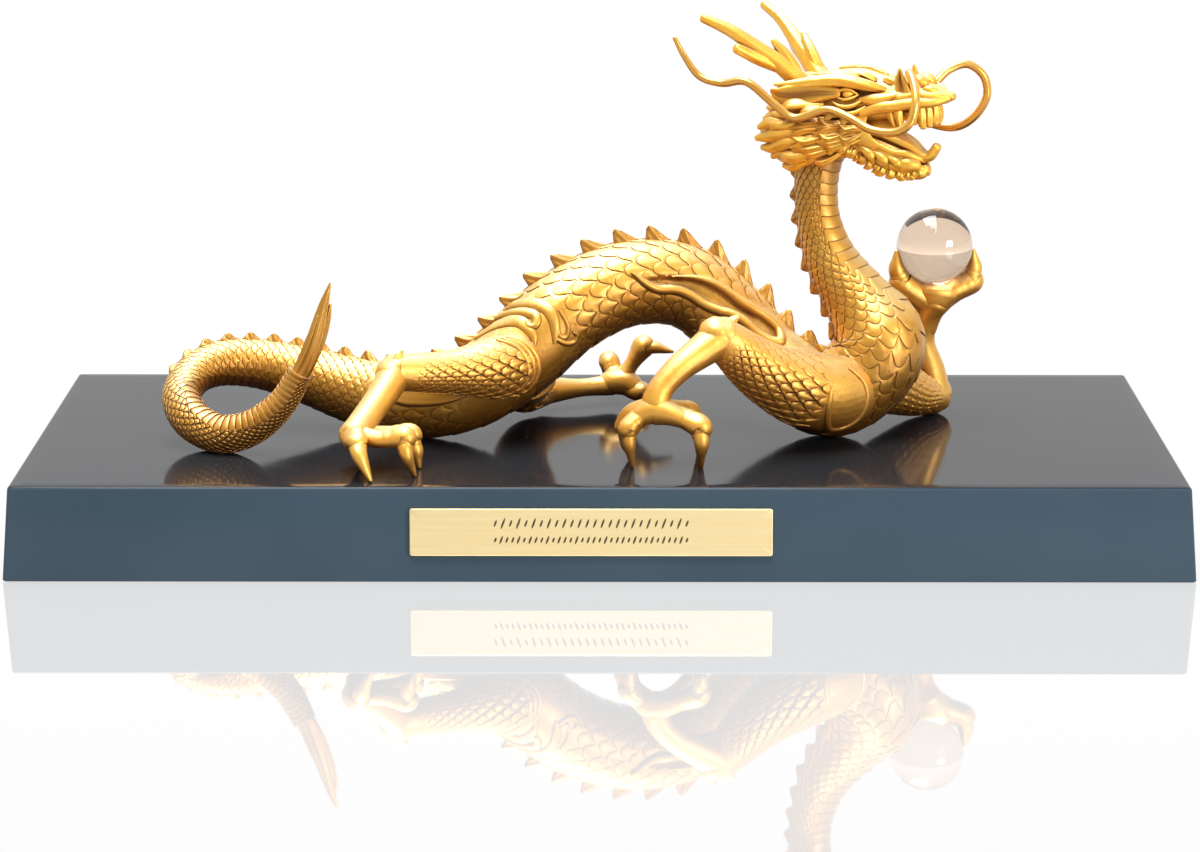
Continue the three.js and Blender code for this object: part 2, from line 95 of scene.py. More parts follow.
def ease(low: float | Grid, high: float | Grid, value: Grid) -> Grid:
    """Rises from 0 at low to 1 at high along an S-shaped cubic."""
    x = np.clip((value - low) / (high - low), 0, 1)
    return x * x * (3 - 2 * x)


def along(table: Table, t: Grid) -> Grid:
    """Reads a table of (share, value) rows at t, straight between its rows."""
    places, values = np.array(table, float).T
    return np.interp(t, places, values)


def unit(vectors: Grid) -> Grid:
    """Vectors divided by their own lengths."""
    return vectors / np.maximum(np.linalg.norm(vectors, axis=-1, keepdims=True), TINY)


@dataclass(frozen=True)
class Frames:
    """Places along a strand: centre, directions and half-sizes, each with the same leading shape."""

    centre: Grid
    tangent: Grid
    lateral: Grid
    dorsal: Grid
    width: Grid
    height: Grid


class Strand:
    """An oval section carried along a smooth path of stations: x, y, z, half-width and half-height."""

    thinnest: float = 0.15
    slope_step: float = 1e-4

    def __init__(self, stations: Sequence[Station], side: Sequence[float] = (0.0, 1.0, 0.0)) -> None:
        """Keeps the stations and the direction that the section's width follows.

        Args:
            stations: x, y, z, half-width and, if it differs, half-height, in millimetres.
            side: The direction that the width leans to.
        """
        full = [list(s) + [s[3]] if len(s) == 4 else list(s) for s in stations]
        self.stations: Grid = np.array(full, float)
        self.side: Grid = np.array(side, float)

    def at(self, t: Grid) -> Frames:
        """Reads the strand at t.

        The tangent is the path's slope, the lateral direction is side with the tangent taken out,
        and the dorsal direction is their cross product.

        Args:
            t: Shares along the stations, in any shape.

        Returns:
            The frames there.
        """
        t = np.asarray(t, float)
        values = smooth_through(self.stations, t)
        ahead = smooth_through(self.stations[:, :3], np.minimum(t + self.slope_step, 1.0))
        behind = smooth_through(self.stations[:, :3], np.maximum(t - self.slope_step, 0.0))
        tangent = unit(ahead - behind)
        across = self.side - tangent * (tangent @ self.side)[..., None]
        lateral = unit(across)
        dorsal = np.cross(tangent, lateral)
        sizes = np.maximum(values[..., 3:5], self.thinnest)
        return Frames(values[..., :3], tangent, lateral, dorsal, sizes[..., 0], sizes[..., 1])

    def skin(self, t: Grid, turn: Grid, lift: Grid | float = 0.0) -> Grid:
        """Points on the section's oval, from the near side (turn 0) over the back (a quarter turn).

        Args:
            t: Shares along the stations.
            turn: Angles round the section, in radians, of the same shape.
            lift: Distance out from the oval.

        Returns:
            The points, in millimetres.
        """
        f = self.at(t)
        across = -np.cos(turn) * (f.width + lift)
        up = np.sin(turn) * (f.height + lift)
        return f.centre + f.lateral * across[..., None] + f.dorsal * up[..., None]

    def outward(self, t: Grid, turn: Grid) -> Grid:
        """The oval's direction out from the centre at the same places as skin."""
        f = self.at(t)
        return unit(-np.cos(turn)[..., None] * f.lateral + np.sin(turn)[..., None] * f.dorsal)


@dataclass
class Shell:
    """A closed surface: points, four-sided and three-sided faces, and how much painted shade each point has.
    """

    points: Grid
    quads: NDArray[np.int64]
    triangles: NDArray[np.int64]
    painted_shade: Grid

    def moved(self, matrix: Grid) -> "Shell":
        """The same surface carried by a 4 by 4 matrix."""
        points = self.points @ matrix[:3, :3].T + matrix[:3, 3]
        return Shell(points, self.quads, self.triangles, self.painted_shade)

    def mirrored(self) -> "Shell":
        """The same surface reflected across y = 0, with its faces turned to stay outward."""
        points = self.points * np.array([1.0, -1.0, 1.0])
        return Shell(points, self.quads[:, ::-1], self.triangles[:, ::-1], self.painted_shade)


HOLLOW_GAIN = 4.0


def hollows(points: Grid) -> Grid:
    """How deep each point of a ringed grid lies below its neighbours.

    It is the step from the point to the mean of its four neighbours along the outward normal, over the
    spacing round the ring, times a gain.

    Args:
        points: Rows of rings, rows by columns by 3.

    Returns:
        Rows by columns, from 0 on flat or raised places to 1 in a sharp groove.
    """
    above = np.concatenate([points[:1], points[:-1]])
    below = np.concatenate([points[1:], points[-1:]])
    left = np.roll(points, 1, axis=1)
    right = np.roll(points, -1, axis=1)
    normal = unit(np.cross(below - above, right - left))
    step = (above + below + left + right) / 4 - points
    spacing = np.linalg.norm(right - left, axis=-1) + 1e-6
    return np.clip(np.sum(step * normal, axis=-1) / spacing * HOLLOW_GAIN, 0, 1)


def rings(points: Grid, painted_shade: Grid | None = None) -> Shell:
    """Closes a stack of rings into a shell, with a fan of triangles to a pole at each end.

    Args:
        points: Rows of rings, rows by columns by 3, each ring turning from the near side over the back.
        painted_shade: Painted shade at each point, or nothing to take it from the hollows.

    Returns:
        The closed shell.
    """
    rows, columns = points.shape[:2]
    # Painted shade, by default darkest where a point lies deep in a hollow
    dark = hollows(points) if painted_shade is None else painted_shade
    index = np.arange(rows * columns).reshape(rows, columns)
    right = np.roll(index, -1, axis=1)
    quads = np.stack([index[:-1], index[1:], right[1:], right[:-1]], axis=-1).reshape(-1, 4)
    first = np.full(columns, rows * columns)
    start = np.stack([first, index[0], right[0]], axis=-1)
    end = np.stack([first + 1, right[-1], index[-1]], axis=-1)
    poles = np.stack([points[0].mean(0), points[-1].mean(0)])
    flat = np.concatenate([points.reshape(-1, 3), poles])
    darkness = np.concatenate([dark.ravel(), [dark[0].mean(), dark[-1].mean()]])
    return Shell(flat, quads, np.concatenate([start, end]), darkness)


DOME_ANGLES = np.radians([78.0, 52.0, 26.0])


def tube(
    strand: Strand,
    rows: int,
    columns: int,
    relief: Relief | None = None,
    cap: float = 0.7,
    dark: Relief | None = None,
) -> Shell:
    """A strand's skin as a closed shell with domed ends.

    Each row is the oval at its share of the path, pushed out by the relief. Past each end, rows of
    falling size make the dome: size times cos(a), pushed along the path by cap times sin(a).

    Args:
        strand: The path and sizes.
        rows: Rows between the ends.
        columns: Points round each row.
        relief: Millimetres to push out at (share, turn), or nothing.
        cap: Height of the dome over the end's half-size.
        dark: Painted shade from 0 to 1 at (share, turn), added to that of the hollows, or nothing.

    Returns:
        The closed shell.
    """
    size, rise = np.cos(DOME_ANGLES), np.sin(DOME_ANGLES)
    share = np.concatenate([np.zeros(len(size)), np.linspace(0, 1, rows), np.ones(len(size))])
    shrink = np.concatenate([size, np.ones(rows), size[::-1]])
    push = cap * np.concatenate([-rise, np.zeros(rows), rise[::-1]])
    turn = np.linspace(0, TAU, columns, endpoint=False)
    t, around = np.meshgrid(share, turn, indexing="ij")
    f = strand.at(t)
    out = relief(t, around) if relief else np.zeros_like(t)
    fade = shrink[:, None]
    across = -np.cos(around) * (f.width * fade + out * fade)
    up = np.sin(around) * (f.height * fade + out * fade)
    ahead = push[:, None] * np.minimum(f.width, f.height)
    points = (
        f.centre
        + f.tangent * ahead[..., None]
        + f.lateral * across[..., None]
        + f.dorsal * up[..., None]
    )
    return rings(points, np.clip(hollows(points) + dark(t, around), 0, 1) if dark else None)


FINE_STEPS = 1600


@dataclass(frozen=True)
class Scaling:
    """How overlapping scales cover a strand. Each table gives a value along the strand.

    columns is how many scales go round, pitch the row spacing and lift the height of a free edge, both
    over the mean radius, and reach is how far a scale covers the row before it, in rows. belly is the
    half-angle of the belly plates and roll the skin's twist towards the near side, both in degrees, and
    belly_shade is painted shade on the plates. span is the stretch of the strand that is covered, and
    around the number of points in a ring.
    """

    columns: Table
    pitch: Table
    lift: Table
    reach: Table = ((0.0, 0.8), (1.0, 0.8))
    belly: Table = ((0.0, 0.0), (1.0, 0.0))
    belly_shade: Table = ((0.0, 0.0), (1.0, 0.0))
    roll: Table = ((0.0, 0.0), (1.0, 0.0))
    span: Span = (0.0, 1.0)
    around: int = 120

    def counted(self, strand: Strand) -> tuple[Grid, Grid, Grid]:
        """Counts the rows of scales along a strand: its length over the row spacing, summed up step by step.

        Args:
            strand: The path and sizes.

        Returns:
            Shares along the strand, the rows counted up to each, and the mean radius there.
        """
        fine = np.linspace(*self.span, FINE_STEPS)
        f = strand.at(fine)
        radius = 0.5 * (f.width + f.height)
        stride = np.linalg.norm(np.diff(f.centre, axis=0), axis=1)
        spacing = along(self.pitch, fine) * radius
        paces = stride / (0.5 * (spacing[1:] + spacing[:-1]))
        return fine, np.concatenate([[0.0], np.cumsum(paces)]), radius


# A scale from its free edge to the groove: share of the row, height over the lift, and painted shade
SCALE_ACROSS = np.array([0.0, 0.07, 0.5, 0.92, 1.0])
SCALE_RISE = np.array([0.85, 1.0, 0.68, 0.2, -0.1])
SCALE_SHADE = np.array([0.6, 0.0, 0.0, 0.12, 1.0])
TONGUE_POWER = 2.4
SCALE_CROWN = 0.25

# Belly plates: how far each second row shuts, the bow in rows, the fade in degrees, and how much less
# painted shade their grooves take
PLATE_SHUT = 0.94
PLATE_BOW = 0.35
PLATE_FADE = 7
PLATE_LIGHT = 0.5


def scaled_tube(strand: Strand, scaling: Scaling, keep: Relief, press: Relief | None = None) -> Shell:
    """A strand covered with rows of overlapping scales whose free edges point to the strand's start.

    Row i ends at the line q = i - reach * (1 - |2u|^p), where q counts rows along the strand, u runs from
    -0.5 to 0.5 across a scale, p is the tongue's power, and every second row is shifted by half a scale.
    Between one line and the next the skin falls from the free edge to the groove under the next row, so
    each line is a small wall. On the belly the lines are nearly straight, and every second row is shut,
    which leaves broad plates.

    Args:
        strand: The path and sizes.
        scaling: The layout of the scales.
        keep: From 0 to 1 at (share, turn): how much of the relief stays.
        press: Millimetres to press the skin in at (share, turn), or nothing.

    Returns:
        The closed shell.
    """
    fine, counted, radius = scaling.counted(strand)
    count = int(counted[-1]) - 1
    turn = np.linspace(0, TAU, scaling.around, endpoint=False)
    number = np.arange(count + 2)[:, None]
    share = np.interp(number, counted, fine)
    rolled = turn[None] - np.radians(along(scaling.roll, share))
    columns = np.round(along(scaling.columns, share))
    u = (rolled / TAU * columns + 0.5 * (number % 2)) % 1 - 0.5
    tongue = 1 - np.abs(2 * u) ** TONGUE_POWER
    belly = along(scaling.belly, share)
    from_belly = np.abs((np.degrees(rolled) - 270 + 180) % 360 - 180)
    scale_share = np.where(belly > 0, ease(belly, belly + PLATE_FADE, from_belly), 1.0)
    plate_share = 1 - scale_share
    bow = np.cos(np.clip(from_belly / np.maximum(belly, 1.0), 0, 1) * math.pi / 2)
    lines = number - along(scaling.reach, share) * tongue * scale_share
    lines = lines + plate_share * (PLATE_SHUT * (number % 2) - PLATE_BOW * bow)
    lines[0] = 0.0
    lines[-1] = counted[-1]
    lines = np.clip(lines, 0, counted[-1])
    rows = len(SCALE_ACROSS)
    q = lines[:-1, None, :] + SCALE_ACROSS[None, :, None] * (lines[1:] - lines[:-1])[:, None, :]
    t = np.interp(q, counted, fine).reshape(-1, len(turn))
    around = np.broadcast_to(turn, t.shape)
    kept = keep(t, around)
    crown = 1 + SCALE_CROWN * np.repeat((tongue * scale_share)[:-1], rows, axis=0)
    height = along(scaling.lift, t) * np.interp(t, fine, radius)
    out = height * kept * np.tile(SCALE_RISE, count + 1)[:, None] * crown
    out = out - press(t, around) if press else out
    points = strand.skin(t, around, out)
    # Painted shade: dark in the grooves between scales, less so in the belly plates' grooves, and over the
    # plates where belly_shade asks
    shade = np.repeat((1 - PLATE_LIGHT * plate_share)[:-1], rows, axis=0)
    plates = along(scaling.belly_shade, t) * np.repeat(plate_share[:-1], rows, axis=0)
    grooves = np.tile(SCALE_SHADE, count + 1)[:, None] * kept * shade
    return rings(points, np.clip(grooves + plates, 0, 1))


RIBBON_POINTS = 28
RIBBON_SINK = 0.8
RIBBON_POWER = 0.6
RIM_PLACE = 0.72
RIM_SPREAD = 0.2
# Painted shade along a band's foot, from FOOT_PLACE out to its edges, and in its hollows
FOOT_PLACE = 0.7
FOOT_SHADE = 0.75
HOLLOW_SHADE = 0.6


def ribbon(centres: Grid, normals: Grid, half_width: Grid, lift: float, rim: float) -> Shell:
    """A low band laid along a line of points on a skin, with a raised rim on each edge and painted shade
    along its foot.

    Across the band, x runs from -1 to 1. Its top stands lift * (1 - rim + rim * bump) * (1 - x^2)^power
    over the skin, where bump is a bell of |x| round the rim, and its underside is sunk in the skin by the
    square root of 1 - x^2 times the sink.

    Args:
        centres: Points on the skin, in millimetres.
        normals: The skin's outward directions there.
        half_width: Half of the band's width at each point.
        lift: Height of the rim.
        rim: How much lower the middle is than the rim, from 0 to 1.

    Returns:
        The closed shell.
    """
    ahead = unit(np.gradient(centres, axis=0))
    side = unit(np.cross(normals, ahead))
    turn = np.linspace(0, TAU, RIBBON_POINTS, endpoint=False)
    x = -np.cos(turn)
    bump = np.exp(-(((np.abs(x) - RIM_PLACE) / RIM_SPREAD) ** 2))
    top = lift * (1 - rim + rim * bump) * np.clip(1 - x * x, 0, 1) ** RIBBON_POWER
    below = -RIBBON_SINK * np.sqrt(np.clip(1 - x * x, 0, 1))
    height = np.where(np.sin(turn) >= 0, top, below)
    points = (
        centres[:, None]
        + side[:, None] * (x[None] * half_width[:, None])[..., None]
        + normals[:, None] * height[None, :, None]
    )
    # Painted shade along the band's foot, where it meets the skin, and in its hollows
    edge = np.clip((np.abs(x) - FOOT_PLACE) / (1 - FOOT_PLACE), 0, 1)
    foot = np.broadcast_to(FOOT_SHADE * edge**2, points.shape[:2])
    return rings(points, np.clip(hollows(points) * HOLLOW_SHADE + foot, 0, 1))


def oriented(shell: Shell) -> Shell:
    """The shell with its faces turned, if need be, so that its volume is positive.

    Args:
        shell: Any closed shell.

    Returns:
        The same shell, facing out.
    """
    fans = [shell.triangles, shell.quads[:, [0, 1, 2]], shell.quads[:, [0, 2, 3]]]
    faces = shell.points[np.concatenate(fans)]
    volume = np.einsum("ij,ij->", faces[:, 0], np.cross(faces[:, 1], faces[:, 2]))
    if volume >= 0:
        return shell
    return Shell(shell.points, shell.quads[:, ::-1], shell.triangles[:, ::-1], shell.painted_shade)


class Shading(Enum):
    """How a piece's faces meet: all smooth, or with edges kept above an angle in degrees."""

    SMOOTH = 180.0
    CAST = 52.0
    CRISP = 28.0


def make_piece(
    name: str,
    shells: Sequence[Shell],
    material: Material,
    shading: Shading,
) -> bpy.types.Object:
    """Puts shells into one Blender mesh and makes it ride on the part.

    Args:
        name: The piece's name.
        shells: Closed surfaces in millimetres.
        material: Its finish.
        shading: How its faces meet.

    Returns:
        The new object.
    """
    shells = [oriented(s) for s in shells]
    offsets = np.cumsum([0] + [len(s.points) for s in shells])
    points = np.concatenate([s.points for s in shells]) * MM
    quads = np.concatenate([s.quads + o for s, o in zip(shells, offsets)])
    triangles = np.concatenate([s.triangles + o for s, o in zip(shells, offsets)])
    loops = np.concatenate([quads.ravel(), triangles.ravel()]).astype(np.int32)
    sizes = np.concatenate([np.full(len(quads), 4), np.full(len(triangles), 3)])
    starts = np.concatenate([[0], np.cumsum(sizes)[:-1]]).astype(np.int32)
    mesh = bpy.data.meshes.new(name)
    mesh.vertices.add(len(points))
    mesh.vertices.foreach_set("co", points.ravel().astype(np.float32))
    mesh.loops.add(len(loops))
    mesh.loops.foreach_set("vertex_index", loops)
    mesh.polygons.add(len(starts))
    mesh.polygons.foreach_set("loop_start", starts)
    mesh.update(calc_edges=True)
    mesh.validate()
    # Each point's painted shade, which the gilt's material reads
    darkness = mesh.attributes.new("painted_shade", "FLOAT", "POINT")
    darkness.data.foreach_set("value", np.concatenate([s.painted_shade for s in shells]).astype(np.float32))
    mesh.shade_smooth()
    if shading is not Shading.SMOOTH:
        mesh.set_sharp_from_angle(angle=math.radians(shading.value))
    mesh.materials.append(material)
    piece = bpy.data.objects.new(name, mesh)
    bpy.context.scene.collection.objects.link(piece)
    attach(piece, "root")
    LOG.info("%s: %d faces", name, len(starts))
    return piece


class Nodes:
    """A new node material, with short ways to add and join its nodes."""

    def __init__(self, name: str) -> None:
        """Starts a material that holds a Principled shader and its output."""
        self.material = bpy.data.materials.new(name)
        self.material.use_nodes = True
        self.tree = self.material.node_tree
        self.shader = self.tree.nodes["Principled BSDF"]
        self.place = self.add("ShaderNodeTexCoord").outputs["Object"]

    def add(self, kind: str, **settings: object) -> bpy.types.Node:
        """Adds a node and sets its own properties.

        Args:
            kind: The node's type.
            settings: Its properties by name.

        Returns:
            The new node.
        """
        node = self.tree.nodes.new(kind)
        for key, value in settings.items():
            setattr(node, key, value)
        return node

    def join(self, source: Socket, target: Socket) -> None:
        """Links one socket to another."""
        self.tree.links.new(source, target)

    def fixed(self, **values: object) -> None:
        """Sets plain values on the shader's sockets, with underscores for the spaces in their names."""
        for key, value in values.items():
            self.shader.inputs[key.replace("_", " ")].default_value = value

    def noise(self, scale: float, detail: float = 3.0, stretch: Sequence[float] = (1.0, 1.0, 1.0)) -> Socket:
        """Noise over the object's own coordinates.

        Args:
            scale: Features per metre.
            detail: Finer layers.
            stretch: Factors on the three coordinates.

        Returns:
            The noise's value, from 0 to 1.
        """
        mapping = self.add("ShaderNodeMapping")
        mapping.inputs["Scale"].default_value = stretch
        self.join(self.place, mapping.inputs["Vector"])
        texture = self.add("ShaderNodeTexNoise")
        texture.inputs["Scale"].default_value = scale
        texture.inputs["Detail"].default_value = detail
        self.join(mapping.outputs["Vector"], texture.inputs["Vector"])
        return texture.outputs["Fac"]

    def ranged(self, value: Socket, low: float, high: float, start: float, end: float) -> Socket:
        """Carries a value from one range to another, held at the ends.

        Args:
            value: The value.
            low: Start of its own range.
            high: End of its own range.
            start: What low becomes.
            end: What high becomes.

        Returns:
            The new value.
        """
        node = self.add("ShaderNodeMapRange")
        for key, number in zip(("From Min", "From Max", "To Min", "To Max"), (low, high, start, end)):
            node.inputs[key].default_value = number
        self.join(value, node.inputs["Value"])
        return node.outputs["Result"]

    def mixed(self, share: Socket, first: object, second: object) -> Socket:
        """Mixes two colours by a share from 0 to 1.

        Args:
            share: The second colour's share.
            first: A colour or a socket.
            second: A colour or a socket.

        Returns:
            The mixed colour.
        """
        node = self.add("ShaderNodeMix", data_type="RGBA")
        self.join(share, node.inputs["Factor"])
        for key, colour in (("A", first), ("B", second)):
            socket = [s for s in node.inputs if s.name == key and s.type == "RGBA"][0]
            if isinstance(colour, Socket):
                self.join(colour, socket)
            else:
                socket.default_value = (*colour, 1.0)
        return [s for s in node.outputs if s.type == "RGBA"][0]

    def bumped(self, height: Socket, strength: float, distance: float) -> None:
        """Gives the shader a bump.

        Args:
            height: The bump's height, from 0 to 1.
            strength: How much of it shows.
            distance: Its depth in metres.
        """
        node = self.add("ShaderNodeBump")
        node.inputs["Strength"].default_value = strength
        node.inputs["Distance"].default_value = distance
        self.join(height, node.inputs["Height"])
        self.join(node.outputs["Normal"], self.shader.inputs["Normal"])

    def upward(self) -> Socket:
        """How far the surface faces up, from -1 to 1."""
        parts = self.add("ShaderNodeSeparateXYZ")
        self.join(self.add("ShaderNodeNewGeometry").outputs["Normal"], parts.inputs["Vector"])
        return parts.outputs["Z"]


# Where a noise's middle tones start and end
CLOUD_RANGE: Span = (0.35, 0.65)
NOISE_RANGE: Span = (0.3, 0.7)


@dataclass(frozen=True)
class Gilt:
    """Satin gold plate over a casting, with painted light on top and painted shade in grooves and
    undersides.

    The plate clouds from bright to warm. A painted highlight turns it pale where it faces up, over the range
    top_light_from, and painted shade gives it the underside's tone where it faces down, over
    underside_shade_from. Painted shade browns it where the painted_shade attribute says, and where the open
    share of the sky within the crevice's reach, in metres, falls through open_from. satin is the range of
    roughness, and the scales are features per metre.
    """

    name: str
    bright: Colour = (1.0, 0.56, 0.1)
    warm: Colour = (0.94, 0.45, 0.055)
    # pale is a painted highlight: the tone that faces turning up take on
    pale: Colour = (1.0, 0.80, 0.40)
    top_light_from: Span = (0.45, 1.0)
    top_light_share: float = 0.85
    # under is painted shade: the tone that faces turning down take on
    under: Colour = (0.44, 0.155, 0.015)
    underside_shade_from: Span = (-0.8, 0.3)
    # groove is the tone of painted shade in grooves and crevices
    groove: Colour = (0.24, 0.075, 0.008)
    groove_from: Span = (0.05, 1.0)
    open_from: Span = (0.2, 0.78)
    brown_share: float = 0.95
    crevice: float = 0.006
    satin: Span = (0.4, 0.52)
    metal: float = 0.7
    coat: float = 0.55
    coat_satin: float = 0.32
    grain: float = 0.3
    grain_depth: float = 0.0004
    cloud_scale: float = 90.0
    satin_scale: float = 420.0
    grain_scale: float = 700.0

    def material(self) -> Material:
        """Makes the finish as nodes: cloudy gold, painted light on top, painted shade in grooves and below,
        fine cast grain.

        Returns:
            The material.
        """
        n = Nodes(self.name)
        clouds = n.ranged(n.noise(self.cloud_scale, 4.0), *CLOUD_RANGE, 0.0, 1.0)
        upward = n.upward()
        # Painted shade: faces that turn down are mixed towards under
        below = n.ranged(upward, *self.underside_shade_from, self.brown_share, 0.0)
        # Painted highlight: faces that turn up are mixed towards pale
        above = n.ranged(upward, *self.top_light_from, 0.0, self.top_light_share)
        plate = n.mixed(above, n.mixed(clouds, self.bright, self.warm), self.pale)
        gold = n.mixed(below, plate, self.under)
        # Painted shade in grooves and crevices: from the painted_shade attribute, and from ambient occlusion
        painted_shade = n.add("ShaderNodeAttribute", attribute_name="painted_shade").outputs["Fac"]
        sheltered = n.add("ShaderNodeAmbientOcclusion", samples=4)
        sheltered.inputs["Distance"].default_value = self.crevice
        brown = n.add("ShaderNodeMath", operation="MAXIMUM")
        n.join(n.ranged(painted_shade, *self.groove_from, 0.0, self.brown_share), brown.inputs[0])
        n.join(n.ranged(sheltered.outputs["AO"], *self.open_from, self.brown_share, 0.0), brown.inputs[1])
        n.join(n.mixed(brown.outputs["Value"], gold, self.groove), n.shader.inputs["Base Color"])
        n.fixed(Metallic=self.metal, Coat_Weight=self.coat, Coat_Roughness=self.coat_satin)
        n.join(n.ranged(n.noise(self.satin_scale), *NOISE_RANGE, *self.satin), n.shader.inputs["Roughness"])
        n.bumped(n.noise(self.grain_scale, 6.0), self.grain, self.grain_depth)
        return n.material


# Lit and shaded copies of one gilt: the body is painted darker, the head brighter, each with its own painted
# shade on undersides and in crevices; the wires differ only in satin and grain
LIMB_GILT = Gilt("gilt_casting")
BODY_GILT = Gilt(
    "gilt_body",
    bright=(0.93, 0.51, 0.075),
    warm=(0.84, 0.39, 0.04),
    under=(0.24, 0.085, 0.006),
    underside_shade_from=(-0.62, 0.66),
)
HEAD_GILT = Gilt(
    "gilt_head",
    bright=(1.0, 0.58, 0.07),
    warm=(1.0, 0.49, 0.04),
    under=(0.7, 0.28, 0.016),
    underside_shade_from=(-0.95, 0.05),
    groove=(0.27, 0.08, 0.004),
    crevice=0.004,
)
WIRE_GILT = Gilt("gilt_wire", satin=(0.2, 0.28), grain=0.08)


@dataclass(frozen=True)
class Lacquer:
    """Black lacquer, polished on a slab of wood: two tones on its sides, and painted shade that makes its
    level top darker.
    """

    name: str = "black_lacquer"
    deep: Colour = (0.045, 0.071, 0.097)
    worn: Colour = (0.054, 0.083, 0.110)
    # level is painted shade: the darker colour of the top, which faces the lights
    level: Colour = (0.020, 0.021, 0.024)
    top_shade_from: Span = (0.5, 0.95)
    gloss: Span = (0.07, 0.12)
    bend: float = 1.22
    wave: float = 0.03
    wave_depth: float = 0.0004
    cloud_scale: float = 24.0
    gloss_scale: float = 60.0
    wave_scale: float = 35.0

    def material(self) -> Material:
        """Makes the finish as nodes: a faint cloudiness, painted shade on the top, and a glossy, very
        slightly wavy film.

        Returns:
            The material.
        """
        n = Nodes(self.name)
        clouds = n.ranged(n.noise(self.cloud_scale), *NOISE_RANGE, 0.0, 1.0)
        sides = n.mixed(clouds, self.deep, self.worn)
        # Painted shade: faces that turn up take the darker level colour
        top = n.ranged(n.upward(), *self.top_shade_from, 0.0, 1.0)
        n.join(n.mixed(top, sides, self.level), n.shader.inputs["Base Color"])
        gloss = n.ranged(n.noise(self.gloss_scale, 2.0), *NOISE_RANGE, *self.gloss)
        n.join(gloss, n.shader.inputs["Roughness"])
        n.fixed(IOR=self.bend)
        n.bumped(n.noise(self.wave_scale, 1.0), self.wave, self.wave_depth)
        return n.material


@dataclass(frozen=True)
class BrushedPlate:
    """Pale satin brass with a brushed grain along its length."""

    name: str = "satin_brass"
    pale: Colour = (0.98, 0.80, 0.44)
    shade: Colour = (0.90, 0.70, 0.34)
    metal: float = 0.6
    satin: Span = (0.34, 0.48)
    grain: float = 0.08
    grain_depth: float = 0.0001
    streak_scale: float = 900.0
    streak_stretch: Place = (0.03, 1.0, 1.0)

    def material(self) -> Material:
        """Makes the finish as nodes: long streaks of tone and roughness.

        Returns:
            The material.
        """
        n = Nodes(self.name)
        streaks = n.noise(self.streak_scale, 3.0, self.streak_stretch)
        tone = n.ranged(streaks, *NOISE_RANGE, 0.0, 1.0)
        n.join(n.mixed(tone, self.pale, self.shade), n.shader.inputs["Base Color"])
        n.fixed(Metallic=self.metal)
        n.join(n.ranged(streaks, *NOISE_RANGE, *self.satin), n.shader.inputs["Roughness"])
        n.bumped(streaks, self.grain, self.grain_depth)
        return n.material


@dataclass(frozen=True)
class Enamel:
    """Dark enamel filled into shallow strokes."""

    name: str = "stroke_enamel"
    colour: Colour = (0.06, 0.035, 0.015)
    lighter: float = 1.5
    satin: float = 0.45
    mottle_scale: float = 700.0

    def material(self) -> Material:
        """Makes the finish as nodes: dark brown with a slight unevenness.

        Returns:
            The material.
        """
        n = Nodes(self.name)
        light = tuple(self.lighter * c for c in self.colour)
        n.join(n.mixed(n.noise(self.mottle_scale, 2.0), self.colour, light), n.shader.inputs["Base Color"])
        n.fixed(Roughness=self.satin)
        return n.material


@dataclass(frozen=True)
class Crystal:
    """Clear polished crystal, see-through."""

    name: str = "clear_crystal"
    tint: Colour = (0.87, 0.67, 0.51)
    bend: float = 1.48

    def material(self) -> Material:
        """Makes the finish as plain values on the shader.

        Returns:
            The material.
        """
        n = Nodes(self.name)
        n.fixed(Base_Color=(*self.tint, 1.0), Roughness=0.0, IOR=self.bend, Transmission_Weight=1.0)
        return n.material


@dataclass(frozen=True)
class PalePaper:
    """The studio's pale, glossy floor, which glows a little."""

    name: str = "pale_paper"
    tone: Colour = (0.09, 0.09, 0.09)
    fibre: float = 0.985
    fibre_scale: float = 300.0
    gloss: float = 0.02
    bend: float = 2.8
    glow: float = 0.6

    def material(self) -> Material:
        """Makes the finish as nodes: an even tone with a faint fibre.

        Returns:
            The material.
        """
        n = Nodes(self.name)
        off = tuple(self.fibre * c for c in self.tone)
        n.join(n.mixed(n.noise(self.fibre_scale, 2.0), self.tone, off), n.shader.inputs["Base Color"])
        n.fixed(Roughness=self.gloss, IOR=self.bend)
        n.fixed(Emission_Color=(1.0, 1.0, 1.0, 1.0), Emission_Strength=self.glow)
        return n.material


SPINE: list[Station] = [
    [-77.2, -38, 46.4, 2.6, 2.9], [-81.7, -37, 38.4, 3.2, 3.4], [-89.3, -35, 31.6, 3.9, 4.1],
    [-98.1, -32, 28.8, 4.5, 4.6], [-106.2, -26, 31.2, 4.9, 4.9], [-109.8, -18, 36.0, 5.0, 5.0],
    [-107.2, -10, 40.2, 5.3, 5.3], [-100.4, -4, 42.2, 6.0, 6.0], [-90.0, -1, 41.3, 6.6, 6.6],
    [-77.2, -2, 38.3, 7.6, 7.6], [-63.8, -6, 34.9, 8.8, 8.8], [-48.9, -13, 33.8, 9.8, 9.7],
    [-34.3, -15, 37.6, 10.6, 10.6], [-21.1, -13, 46.4, 11.2, 11.2], [-8.5, -8, 57.0, 11.4, 11.4],
    [6.5, -3, 63.3, 11.2, 11.2], [22.4, 0, 62.3, 11.0, 11.0], [34.8, -2, 53.2, 10.6, 10.6],
    [45.2, -6, 42.6, 10.6, 10.4], [60.2, -11, 35.2, 11.6, 11.2], [71.2, -12, 43.2, 12.0, 12.0],
    [72.9, -11, 51.4, 12.1, 12.1], [67.9, -9, 60.0, 8.9, 8.9], [61.4, -7, 69.6, 6.9, 6.9],
    [58.0, -6, 78.4, 5.8, 5.8], [56.8, -5, 86.4, 5.4, 5.5], [57.1, -5, 94.6, 5.6, 5.7],
    [59.1, -5, 102.6, 6.2, 6.2],
]


